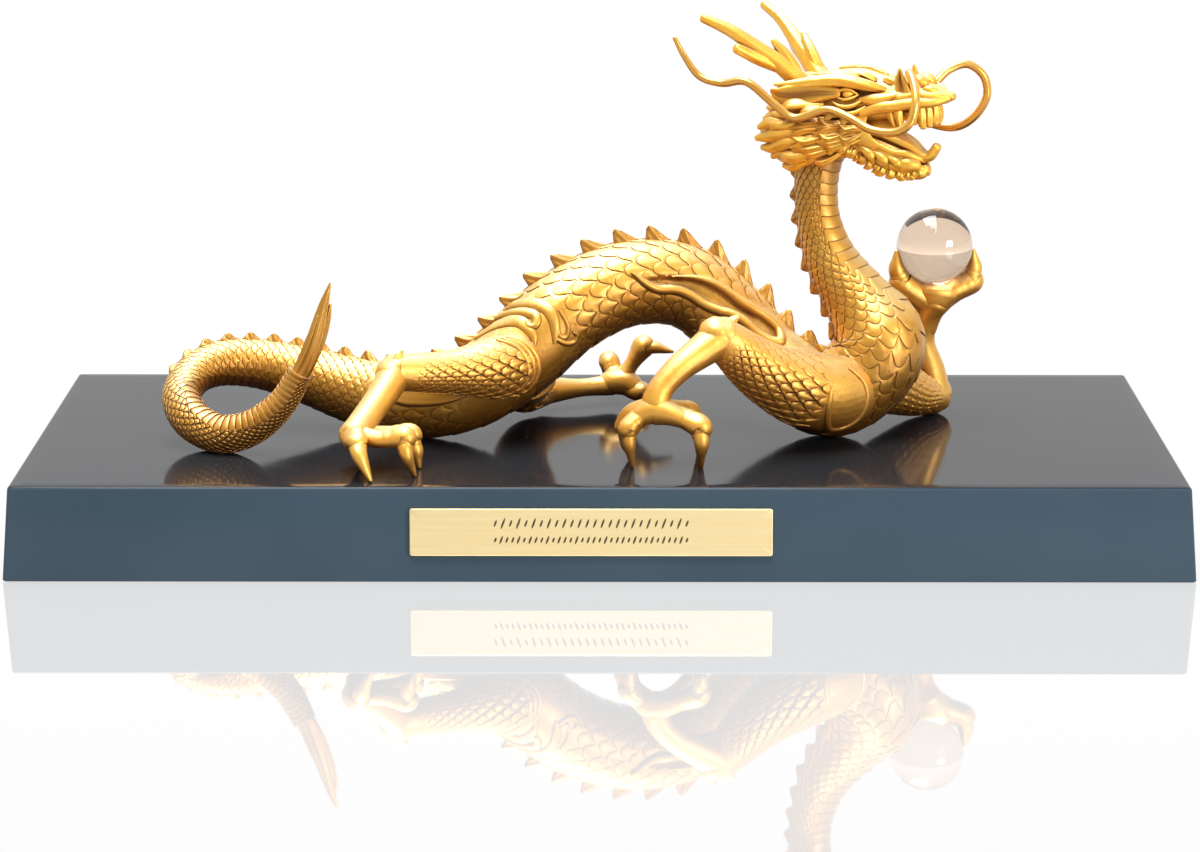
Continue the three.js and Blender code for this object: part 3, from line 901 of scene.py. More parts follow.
def spine_strand() -> Strand:
    """The strand along the dragon's spine."""
    return Strand(SPINE)


@dataclass(frozen=True)
class RaisedLine:
    """A raised line on both flanks.

    It stands lift high, and rim is how much lower its middle is than its edges, from 0 to 1. A station is
    a share along the spine, degrees up from the flank, and a half-width in millimetres.
    """

    lift: float
    stations: tuple[Station, ...]
    rim: float = 0.0
    spread: float = 1.25
    narrowest: float = 0.2
    steps: int = 12

    def laid(self, strand: Strand) -> list[Shell]:
        """Lays the line on a body: a smooth path through its stations, as a ribbon on each flank.

        Args:
            strand: The body's strand.

        Returns:
            The near and the far ribbon.
        """
        share = np.linspace(0, 1, self.steps * len(self.stations))
        rows = smooth_through(np.array(self.stations), share)
        half = np.maximum(self.spread * rows[:, 2], self.narrowest)
        shells = []
        for degrees in (rows[:, 1], 180 - rows[:, 1]):
            turn = np.radians(degrees)
            skin = strand.skin(rows[:, 0], turn)
            shells.append(ribbon(skin, strand.outward(rows[:, 0], turn), half, self.lift, self.rim))
        return shells


@dataclass
class Body:
    """The scaled body from tail to skull, with its fins, its tail leaf and the lines of its smooth panels.

    Tables run along the spine. Where a skin dives under the next one, dive is how deep. The hollow is
    pressed in inside the teardrop. fin_rows are shares of a fin's height, with its root first.
    """

    strand: Strand = field(default_factory=spine_strand)
    tail: Scaling = Scaling(
        columns=((0.0, 16), (0.12, 18), (0.17, 14), (0.21, 11), (0.3, 11), (0.34, 17), (0.42, 18)),
        pitch=(
            (0.0, 0.25), (0.08, 0.24), (0.15, 0.25), (0.2, 0.26), (0.3, 0.24), (0.34, 0.23), (0.42, 0.22),
        ),
        lift=((0.0, 0.1), (0.1, 0.1), (0.2, 0.026), (0.33, 0.026), (0.42, 0.03)),
        reach=(
            (0.0, 1.1), (0.12, 1.25), (0.18, 0.9), (0.22, 0.75), (0.3, 0.75), (0.35, 1.0), (0.42, 1.0),
        ),
        belly=((0.0, 50), (0.05, 44), (0.1, 36), (0.16, 34), (0.42, 34)),
        # Painted shade on the belly plates inside the tail's loop, which face down
        belly_shade=((0.0, 0.0), (0.13, 0.0), (0.19, 0.7), (0.32, 0.7), (0.36, 0.2), (0.42, 0.0)),
        roll=(
            (0.0, 66), (0.04, 54), (0.08, 34), (0.12, 18), (0.16, 16), (0.2, 30), (0.3, 32), (0.36, 8),
            (0.42, 0),
        ),
        span=(0.0, 0.41),
        around=112,
    )
    rear: Scaling = Scaling(
        columns=((0.36, 16), (0.44, 14), (0.7, 14)),
        pitch=((0.36, 0.28), (0.44, 0.31), (0.55, 0.31), (0.7, 0.3)),
        lift=((0.36, 0.028), (0.45, 0.022), (0.7, 0.022)),
        reach=((0.36, 0.95), (0.7, 0.95)),
        belly=((0.36, 34), (0.7, 34)),
        span=(0.365, 0.7),
        around=126,
    )
    front: Scaling = Scaling(
        columns=((0.65, 14), (0.775, 14), (0.84, 19), (1.0, 19)),
        pitch=((0.65, 0.22), (0.75, 0.22), (0.82, 0.24), (0.88, 0.29), (1.0, 0.32)),
        lift=((0.65, 0.018), (0.72, 0.018), (0.8, 0.022), (0.88, 0.04), (1.0, 0.05)),
        reach=((0.65, 0.95), (1.0, 0.95)),
        belly=(
            (0.65, 30), (0.76, 26), (0.8, 28), (0.828, 34), (0.845, 40), (0.861, 44), (0.88, 45),
            (1.0, 45),
        ),
        roll=(
            (0.65, 0), (0.74, 0), (0.8, 4), (0.828, 13), (0.845, 24), (0.861, 33), (0.88, 38), (1.0, 38),
        ),
        span=(0.655, 1.0),
        around=152,
    )
    fin_spacing: Table = (
        (0.0, 5.6), (0.3, 6.2), (0.45, 8.0), (0.55, 8.6), (0.66, 8.4), (0.8, 6.6), (1.0, 6.0),
    )
    fin_height: Table = (
        (0.2, 0.9), (0.25, 1.7), (0.4, 2.6), (0.52, 3.6), (0.62, 3.9), (0.68, 3.0), (0.73, 2.3),
        (0.78, 2.3), (0.85, 2.0), (0.92, 1.6), (1.0, 1.2),
    )
    fin_lean: Table = (
        (0.1, 0.1), (0.34, 0.2), (0.42, 0.55), (0.5, 0.68), (0.62, 0.66), (0.7, 0.35), (1.0, 0.2),
    )
    fin_roll: Table = ((0.0, 66), (0.06, 60), (0.11, 34), (0.16, 8), (0.2, 0), (0.8, 0), (0.86, 6), (1.0, 6))
    fin_spans: tuple[Span, ...] = ((0.2, 0.738), (0.768, 0.97))
    fin_phase: float = 0.46
    fin_rows: tuple[float, ...] = (-1.0, 0.0, 0.12, 0.26, 0.42, 0.6, 0.78, 0.92, 1.0)
    fin_points: int = 40
    fin_root: float = 1.6
    fin_base: float = 0.85
    fin_runs: Span = (0.69, 0.66)
    fin_taper: float = 0.9
    fin_blunt: Span = (0.8, 1.0)
    fin_thick: float = 1.15
    fin_thin: float = 0.78
    fin_flute: float = 0.22
    fin_waves: float = 11.0
    fin_tone_and_shade: Span = (0.22, 0.3)
    teardrop: RaisedLine = RaisedLine(
        lift=1.35,
        stations=(
            (0.555, 22, 0.3), (0.562, 7, 0.9), (0.57, -1, 1.1), (0.583, 1, 1.2), (0.596, 0, 1.2),
            (0.61, -1, 1.2), (0.621, 6, 1.2), (0.628, 14, 1.2), (0.636, 18, 1.2), (0.649, 22, 1.2),
            (0.661, 33, 1.2), (0.665, 45, 1.2), (0.656, 55, 1.1), (0.645, 51, 1.1), (0.635, 42, 1.1),
            (0.626, 37, 1.1), (0.616, 34, 1.0), (0.604, 29, 0.9), (0.59, 22, 0.6), (0.578, 17, 0.25),
        ),
    )
    hip_spiral: RaisedLine = RaisedLine(
        lift=0.8,
        stations=(
            (0.475, 90, 0.4), (0.485, 85, 0.9), (0.494, 60, 1.1), (0.499, 35, 1.2), (0.498, 25, 1.1),
            (0.495, 22, 0.9), (0.493, 28, 0.6), (0.494, 35, 0.3),
        ),
    )
    hip_rim: RaisedLine = RaisedLine(
        lift=0.62,
        stations=(
            (0.485, 95, 0.4), (0.495, 85, 1.1), (0.5, 65, 1.3), (0.504, 45, 1.4), (0.506, 25, 1.4),
            (0.504, 8, 1.2), (0.5, -6, 1.0), (0.496, -15, 0.4),
        ),
    )
    hip_fold: RaisedLine = RaisedLine(
        lift=0.58,
        stations=(
            (0.465, 78, 0.4), (0.476, 73, 1.1), (0.486, 60, 1.5), (0.491, 45, 1.5), (0.492, 28, 1.3),
            (0.491, 13, 0.9), (0.488, 2, 0.3),
        ),
    )
    hip_drop: RaisedLine = RaisedLine(
        lift=0.5,
        stations=(
            (0.51, 15, 0.3), (0.509, -2, 0.5), (0.507, -13, 0.6), (0.503, -19, 0.6), (0.501, -12, 0.5),
            (0.503, -2, 0.5), (0.506, 8, 0.3),
        ),
    )
    hip_hook: RaisedLine = RaisedLine(
        lift=0.6,
        stations=(
            (0.498, -8, 0.3), (0.499, -15, 0.6), (0.501, -26, 0.7), (0.505, -33, 0.7), (0.509, -28, 0.6),
            (0.508, -19, 0.3),
        ),
    )
    knee_leaf: RaisedLine = RaisedLine(
        lift=1.2,
        stations=((0.4, 22, 1.4), (0.409, 19, 2.0), (0.42, 15, 1.9), (0.432, 9, 1.4), (0.444, 2, 0.3)),
        rim=0.3,
    )
    shoulder_span: Span = (0.556, 0.72)
    shoulder_middle: Table = (
        (0.556, 16), (0.575, 6), (0.6, 11), (0.625, 20), (0.645, 33), (0.68, 40), (0.7, 30), (0.72, 5),
    )
    shoulder_half: Table = (
        (0.556, 1), (0.575, 13), (0.6, 18), (0.625, 28), (0.645, 46), (0.66, 55), (0.7, 60), (0.72, 30),
    )
    shoulder_fade: Span = (0.85, 1.1)
    hip_start: Span = (0.43, 0.445)
    hip_end: Table = (
        (-50, 0.5), (-30, 0.511), (14, 0.511), (30, 0.508), (50, 0.505), (70, 0.5), (90, 0.493),
    )
    hip_fade: float = 0.004
    hip_foot: Span = (-46, -38)
    hollow_span: Span = (0.56, 0.666)
    hollow_middle: Table = ((0.56, 12), (0.583, 10), (0.61, 15), (0.628, 26), (0.649, 37), (0.661, 42))
    hollow_half: Table = (
        (0.56, 0.1), (0.583, 9), (0.61, 16), (0.628, 12), (0.649, 15), (0.661, 8), (0.666, 0.1),
    )
    hollow_depth: float = 1.3
    hollow_fade: Span = (0.5, 1.05)
    dive: float = 0.7
    tail_dive: Span = (0.388, 0.41)
    rear_dives: tuple[Span, Span] = ((0.365, 0.388), (0.674, 0.7))
    front_dive: Span = (0.655, 0.68)
    leaf_blades: tuple[tuple[Station, ...], ...] = (
        (
            [-79.4, -37.6, 42.4, 2.2, 2.4], [-75.8, -38.2, 48, 1.8, 2.1], [-73, -38.7, 56, 1.4, 2.1],
            [-70.8, -39, 64, 0.8, 1.3], [-69, -39, 69.8, 0.3, 0.3],
        ),
        (
            [-77.6, -37.6, 43.4, 1.6, 1.6], [-74.2, -38, 49.4, 1.4, 1.5], [-71.6, -38.4, 55.6, 1.1, 1.4],
            [-69.9, -38.7, 60.6, 0.7, 0.9], [-69, -38.8, 64.4, 0.3, 0.3],
        ),
        (
            [-78.8, -38.4, 45, 1.3, 1.4], [-76.4, -38.9, 50, 1.2, 1.3], [-74.2, -39.3, 55.6, 0.9, 1.1],
            [-72.2, -39.5, 61.4, 0.3, 0.3],
        ),
    )
    leaf_groove: float = 0.17
    leaf_flutes: int = 6

    def kept(self, t: Grid, turn: Grid) -> Grid:
        """How much scale relief stays: none on the smooth panels at shoulder and hip, on both flanks.

        The shoulder's panel is a band round a line of angles along the spine. The hip's ends at an arc
        over the flank. The relief fades over a few degrees at their edges.

        Args:
            t: Shares along the spine.
            turn: Angles round the body.

        Returns:
            From 0 to 1.
        """
        up = self.raised(turn)
        first, last = self.shoulder_span
        away = np.abs(up - along(self.shoulder_middle, t)) / along(self.shoulder_half, t)
        shoulder = (1 - ease(*self.shoulder_fade, away)) * ((t > first) & (t < last))
        end = along(self.hip_end, up)
        hip = ease(-self.hip_fade, 0.0, end - t) * ease(*self.hip_start, t) * ease(*self.hip_foot, up)
        return (1 - shoulder) * (1 - hip)

    def raised(self, turn: Grid) -> Grid:
        """Degrees up from the flank, alike on both flanks."""
        return np.degrees(np.arcsin(np.clip(np.sin(turn), -1, 1)))

    def pressed(self, t: Grid, turn: Grid) -> Grid:
        """How far the skin is pressed in: the hollow inside the teardrop, a band round a line of angles.

        Args:
            t: Shares along the spine.
            turn: Angles round the body.

        Returns:
            Millimetres.
        """
        first, last = self.hollow_span
        away = np.abs(self.raised(turn) - along(self.hollow_middle, t)) / along(self.hollow_half, t)
        return self.hollow_depth * (1 - ease(*self.hollow_fade, away)) * ((t > first) & (t < last))

    def rear_pressed(self, t: Grid, turn: Grid) -> Grid:
        """The hollow, and the rear skin's two ends, which dive under the skins next to it."""
        start, end = self.rear_dives
        return self.pressed(t, turn) + self.dive * ease(*end, t) + self.dive * (1 - ease(*start, t))

    def tail_pressed(self, t: Grid, turn: Grid) -> Grid:
        """The tail skin's end, which dives under the rear skin's start."""
        return self.dive * ease(*self.tail_dive, t) + 0 * turn

    def front_pressed(self, t: Grid, turn: Grid) -> Grid:
        """The hollow, and the front skin's start, which dives under the rear skin's end."""
        return self.pressed(t, turn) + self.dive * (1 - ease(*self.front_dive, t))

    def fins(self) -> list[Shell]:
        """Fins along the back, each a thin blade like a flag.

        With b the share of its height, the blade runs from a tail edge behind its place to a head edge
        before it, and both close in on a blunt apex, at minus its lean, as powers of b. Its thickness is
        an oval that thins upwards, fluted along the blade.

        Returns:
            One shell for each fin.
        """
        fine = np.linspace(0, 1, 1200)
        ridge = self.strand.skin(fine, TAU / 4 + self.rolled(fine))
        stride = np.linalg.norm(np.diff(ridge, axis=0), axis=1)
        counted = np.concatenate([[0.0], np.cumsum(stride / along(self.fin_spacing, fine[1:]))])
        places = np.interp(np.arange(int(counted[-1])) + self.fin_phase, counted, fine)
        carried = np.array([t for t in places if any(low < t < high for low, high in self.fin_spans)])
        f = self.strand.at(carried)
        twist = self.rolled(carried)[:, None]
        dorsal = np.cos(twist) * f.dorsal + np.sin(twist) * f.lateral
        lateral = np.cos(twist) * f.lateral - np.sin(twist) * f.dorsal
        half = 0.5 * along(self.fin_spacing, carried)[:, None]
        lean = along(self.fin_lean, carried)[:, None]
        b = np.array(self.fin_rows)[None]
        rise = np.clip(b, 0, 1)
        up = np.where(b < 0, -self.fin_root, rise * along(self.fin_height, carried)[:, None])
        tail_run, head_run = self.fin_runs
        tail_edge = half * (-self.fin_base + (tail_run - lean) * rise**self.fin_taper)
        head_edge = half * (self.fin_base - (head_run + lean) * rise**self.fin_taper)
        tight = np.sqrt(np.clip(1 - 0.8 * ease(*self.fin_blunt, rise), 0, 1))
        middle = 0.5 * (tail_edge + head_edge)
        length = 0.5 * (head_edge - tail_edge) * tight
        thick = self.fin_thick * (1 - self.fin_thin * rise)
        turn = np.linspace(0, TAU, self.fin_points, endpoint=False)[None, None]
        run = middle[..., None] + length[..., None] * np.sin(turn)
        wave = np.cos((run / half[..., None] + lean[..., None] * rise[..., None]) * self.fin_waves)
        flute = 1 + self.fin_flute * wave * ease(0.0, 0.2, rise)[..., None]
        across = -np.cos(turn) * thick[..., None] * flute
        points = (
            f.centre[:, None, None]
            + dorsal[:, None, None] * (f.height[:, None] + up)[..., None, None]
            + f.tangent[:, None, None] * run[..., None]
            + lateral[:, None, None] * across[..., None]
        )
        # A darker tone over the whole fin, partly its browner colour and partly painted shade, with more
        # painted shade in the valleys of its flutes
        plain, fluted = self.fin_tone_and_shade
        shade = plain + fluted * np.clip(-wave, 0, 1) + 0 * across
        return [rings(p, np.clip(d + hollows(p), 0, 1)) for p, d in zip(points, shade)]

    def rolled(self, t: Grid) -> Grid:
        """How far the line of fins is turned from the top of the back, in radians."""
        return np.radians(along(self.fin_roll, t))

    def tail_leaf(self) -> list[Shell]:
        """The leaf that ends the tail: a long blade and two shorter ones, grooved along their length."""
        return [tube(Strand(blade), 30, 64, self.leaf_grooves) for blade in self.leaf_blades]

    def leaf_grooves(self, t: Grid, turn: Grid) -> Grid:
        """Grooves along a blade: a cosine round its section that fades at both ends."""
        fade = np.sin(math.pi * np.clip(t, 0.04, 0.97))
        return self.leaf_groove * np.cos(self.leaf_flutes * turn) * fade

    def lines(self) -> list[Shell]:
        """The raised lines of the smooth panels, on both flanks.

        Returns:
            Two shells for each line.
        """
        hip = (self.hip_spiral, self.hip_rim, self.hip_fold, self.hip_drop, self.hip_hook)
        lines = (self.teardrop, *hip, self.knee_leaf)
        return [shell for line in lines for shell in line.laid(self.strand)]

    def build(self, gilt: Material) -> None:
        """Makes the body's pieces.

        Args:
            gilt: Their finish.
        """
        skins = [
            scaled_tube(self.strand, self.rear, self.kept, self.rear_pressed),
            scaled_tube(self.strand, self.front, self.kept, self.front_pressed),
        ]
        body = make_piece("dragon_body", skins, gilt, Shading.CAST)
        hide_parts("dragon")
        tail = scaled_tube(self.strand, self.tail, self.kept, self.tail_pressed)
        make_piece("dragon_tail", [tail], gilt, Shading.CAST)
        make_piece("dragon_fins", self.fins(), gilt, Shading.CAST)
        make_piece("dragon_tail_leaf", self.tail_leaf(), gilt, Shading.CAST)
        make_piece("dragon_panel_lines", self.lines(), gilt, Shading.CAST)


class LimbName(Enum):
    """The dragon's four limbs, seen from the front of the plinth."""

    NEAR_HIND = "near_hind_leg"
    NEAR_FORE = "near_foreleg"
    FAR_FORE = "raised_foreleg"
    FAR_HIND = "far_hind_leg"


def between(start: Grid, end: Grid, share: float, size: float) -> Grid:
    """A station part of the way from one to another, with its own size.

    Args:
        start: The first station.
        end: The second station.
        share: How far the new one is towards the second.
        size: Its half-width.

    Returns:
        The new station.
    """
    station = (1 - share) * start + share * end
    station[3] = size
    return station


@dataclass
class Limb:
    """One limb: a scaled upper part, a bare lower part and toes that end in claws.

    smooth is the band of the upper part that has no scales, and cuff where they start, both as shares
    from the joint. rim is a raised collar as shares, degrees and half-widths, which is laid rim_count
    times. step is how deep the root is pressed in past the collar, and from which share to which.
    """

    name: LimbName
    thigh: list[Station]
    shin: list[Station]
    toes: list[list[Station]]
    tuft: list[Station]
    smooth: Span = (0.97, 1.0)
    smooth_fade: float = 0.05
    bare_top: float = 0.85
    bare_from: Span = (0.05, 0.75)
    cuff: Span = (0.04, 0.16)
    rim: tuple[Station, ...] = ()
    rim_count: int = 1
    rim_spacing: float = 0.034
    rim_lift: float = 0.6
    step: tuple[float, float, float] = (0.0, 0.9, 1.0)
    palm: tuple[Station, ...] = ()
    shin_side: Place = (1.0, 0.0, 0.3)
    toe_side: Place = (0.3, 1.0, 0.2)
    bone_height: float = 0.16
    crease_depth: float = 0.14
    claw_press: float = 0.12
    shin_swell: float = 0.14
    rib_height: float = 0.12
    scaling: Scaling = Scaling(
        columns=((0.0, 15), (1.0, 15)),
        pitch=((0.0, 0.36), (0.3, 0.34), (1.0, 0.28)),
        lift=((0.0, 0.06), (0.3, 0.075), (1.0, 0.08)),
        reach=((0.0, 1.1), (1.0, 1.1)),
    )

    def kept(self, t: Grid, turn: Grid) -> Grid:
        """How much scale relief stays: none at the joint and on the smooth band, little over the top.

        Args:
            t: Shares along the upper part, from the joint.
            turn: Angles round it.

        Returns:
            From 0 to 1.
        """
        low, high = self.smooth
        band = ease(low - self.smooth_fade, low, t) * (1 - ease(high, high + self.smooth_fade, t))
        scaled = 1 - self.bare_top * ease(*self.bare_from, np.sin(turn))
        return ease(*self.cuff, t) * (1 - band) * scaled

    def root_pressed(self, t: Grid, turn: Grid) -> Grid:
        """Millimetres that the upper part's root is pressed in, past the step at its collar."""
        depth, start, end = self.step
        return depth * ease(start, end, t) + 0 * turn

    def toe(self, stations: list[Station]) -> list[Shell]:
        """A toe and its claw.

        The toe ends in a round knuckle. The claw is a cone that starts inside the knuckle, keeps its size
        down to the last station but one, and runs straight out to its tip. A cuff goes round the claw's
        root.

        Args:
            stations: Root to claw tip; the third last is the knuckle.

        Returns:
            The toe's, the cuff's and the claw's shells.
        """
        rows = np.array(stations, float)
        knuckle, base, tip = rows[-3:]
        bulge = between(knuckle, base, 0.0, 1.05 * knuckle[3])
        end = between(knuckle, base, 0.3, 0.85 * knuckle[3])
        cuff = between(knuckle, base, 0.5, 1.12 * base[3])
        low_cuff = between(knuckle, base, 0.7, 1.06 * base[3])
        root = between(knuckle, base, 0.0, 0.7 * knuckle[3])
        middle = between(base, tip, 0.55, 0.62 * base[3])
        return [
            tube(Strand([*rows[:-3], bulge, end], self.toe_side), 44, 26, self.bony, 0.9),
            tube(Strand([cuff, low_cuff], self.toe_side), 6, 24, None, 0.25),
            tube(Strand([root, base, middle, tip], self.toe_side), 24, 20, self.keel),
        ]

    def bony(self, t: Grid, turn: Grid) -> Grid:
        """A toe's bones: three low ridges that fade to the knuckle, with two creases above the knuckle.

        Args:
            t: Shares along the toe.
            turn: Angles round it.

        Returns:
            Millimetres to push out.
        """
        creases = np.exp(-(((t - 0.5) / 0.03) ** 2)) + 0.8 * np.exp(-(((t - 0.4) / 0.03) ** 2))
        ridges = self.bone_height * np.cos(3 * turn) * (1 - ease(0.5, 0.8, t))
        return ridges - self.crease_depth * creases * (0.5 + 0.5 * np.sin(turn))

    def keel(self, t: Grid, turn: Grid) -> Grid:
        """A claw's section: pressed to an oval, most at its middle."""
        return self.claw_press * np.cos(2 * turn) * np.sin(math.pi * np.clip(t, 0, 1))

    def swelling(self, t: Grid, turn: Grid) -> Grid:
        """A shin's soft swell, a wave that turns round it on its way down and fades at both ends."""
        return self.shin_swell * np.cos(9 * t + turn) * np.sin(math.pi * np.clip(t, 0.03, 0.97))

    def ribs(self, t: Grid, turn: Grid) -> Grid:
        """Five ribs along a tuft."""
        return self.rib_height * np.cos(5 * turn) + 0 * t

    def joint(self) -> Shell:
        """The knee or elbow: a ribbed knob between the upper and the lower part.

        Returns:
            Its shell.
        """
        upper, lower = np.array(self.thigh[-1], float), np.array(self.shin[0], float)
        size = max(upper[3], lower[3])
        way = unit(np.array(self.shin[1][:3]) - np.array(self.thigh[-2][:3]))
        middle = 0.5 * (upper[:3] + lower[:3])
        rows = [
            [*(middle - 0.5 * size * way), 0.86 * size],
            [*middle, size],
            [*(middle + 0.5 * size * way), 0.86 * size],
        ]
        return tube(Strand(rows, self.shin_side), 14, 40, self.ribs, 0.9)

    def collar(self, upper: Strand) -> list[Shell]:
        """The raised collar: a line on the upper part, laid again towards the joint for each further band.

        Args:
            upper: The upper part's strand.

        Returns:
            One ribbon for each band.
        """
        if not self.rim:
            return []
        rows = smooth_through(np.array(self.rim), np.linspace(0, 1, 14 * len(self.rim)))
        turn = np.radians(rows[:, 1])
        bands = []
        for k in range(self.rim_count):
            share = rows[:, 0] - k * self.rim_spacing
            skin = upper.skin(share, turn)
            bands.append(ribbon(skin, upper.outward(share, turn), rows[:, 2], self.rim_lift, 0.0))
        return bands

    def build(self, gilt: Material) -> None:
        """Makes the limb's piece: upper part, collar, lower part, joint, tuft, palm and toes.

        Args:
            gilt: Its finish.
        """
        upper = Strand(self.thigh[::-1])
        shells = [scaled_tube(upper, self.scaling, self.kept, self.root_pressed)]
        shells.extend(self.collar(upper))
        shells.append(tube(Strand(self.shin, self.shin_side), 44, 40, self.swelling))
        shells.append(self.joint())
        shells.append(tube(Strand(self.tuft), 20, 24, self.ribs))
        if self.palm:
            shells.append(tube(Strand(self.palm), 24, 40, None, 0.3))
        for stations in self.toes:
            shells.extend(self.toe(stations))
        make_piece(self.name.value, shells, gilt, Shading.CAST)


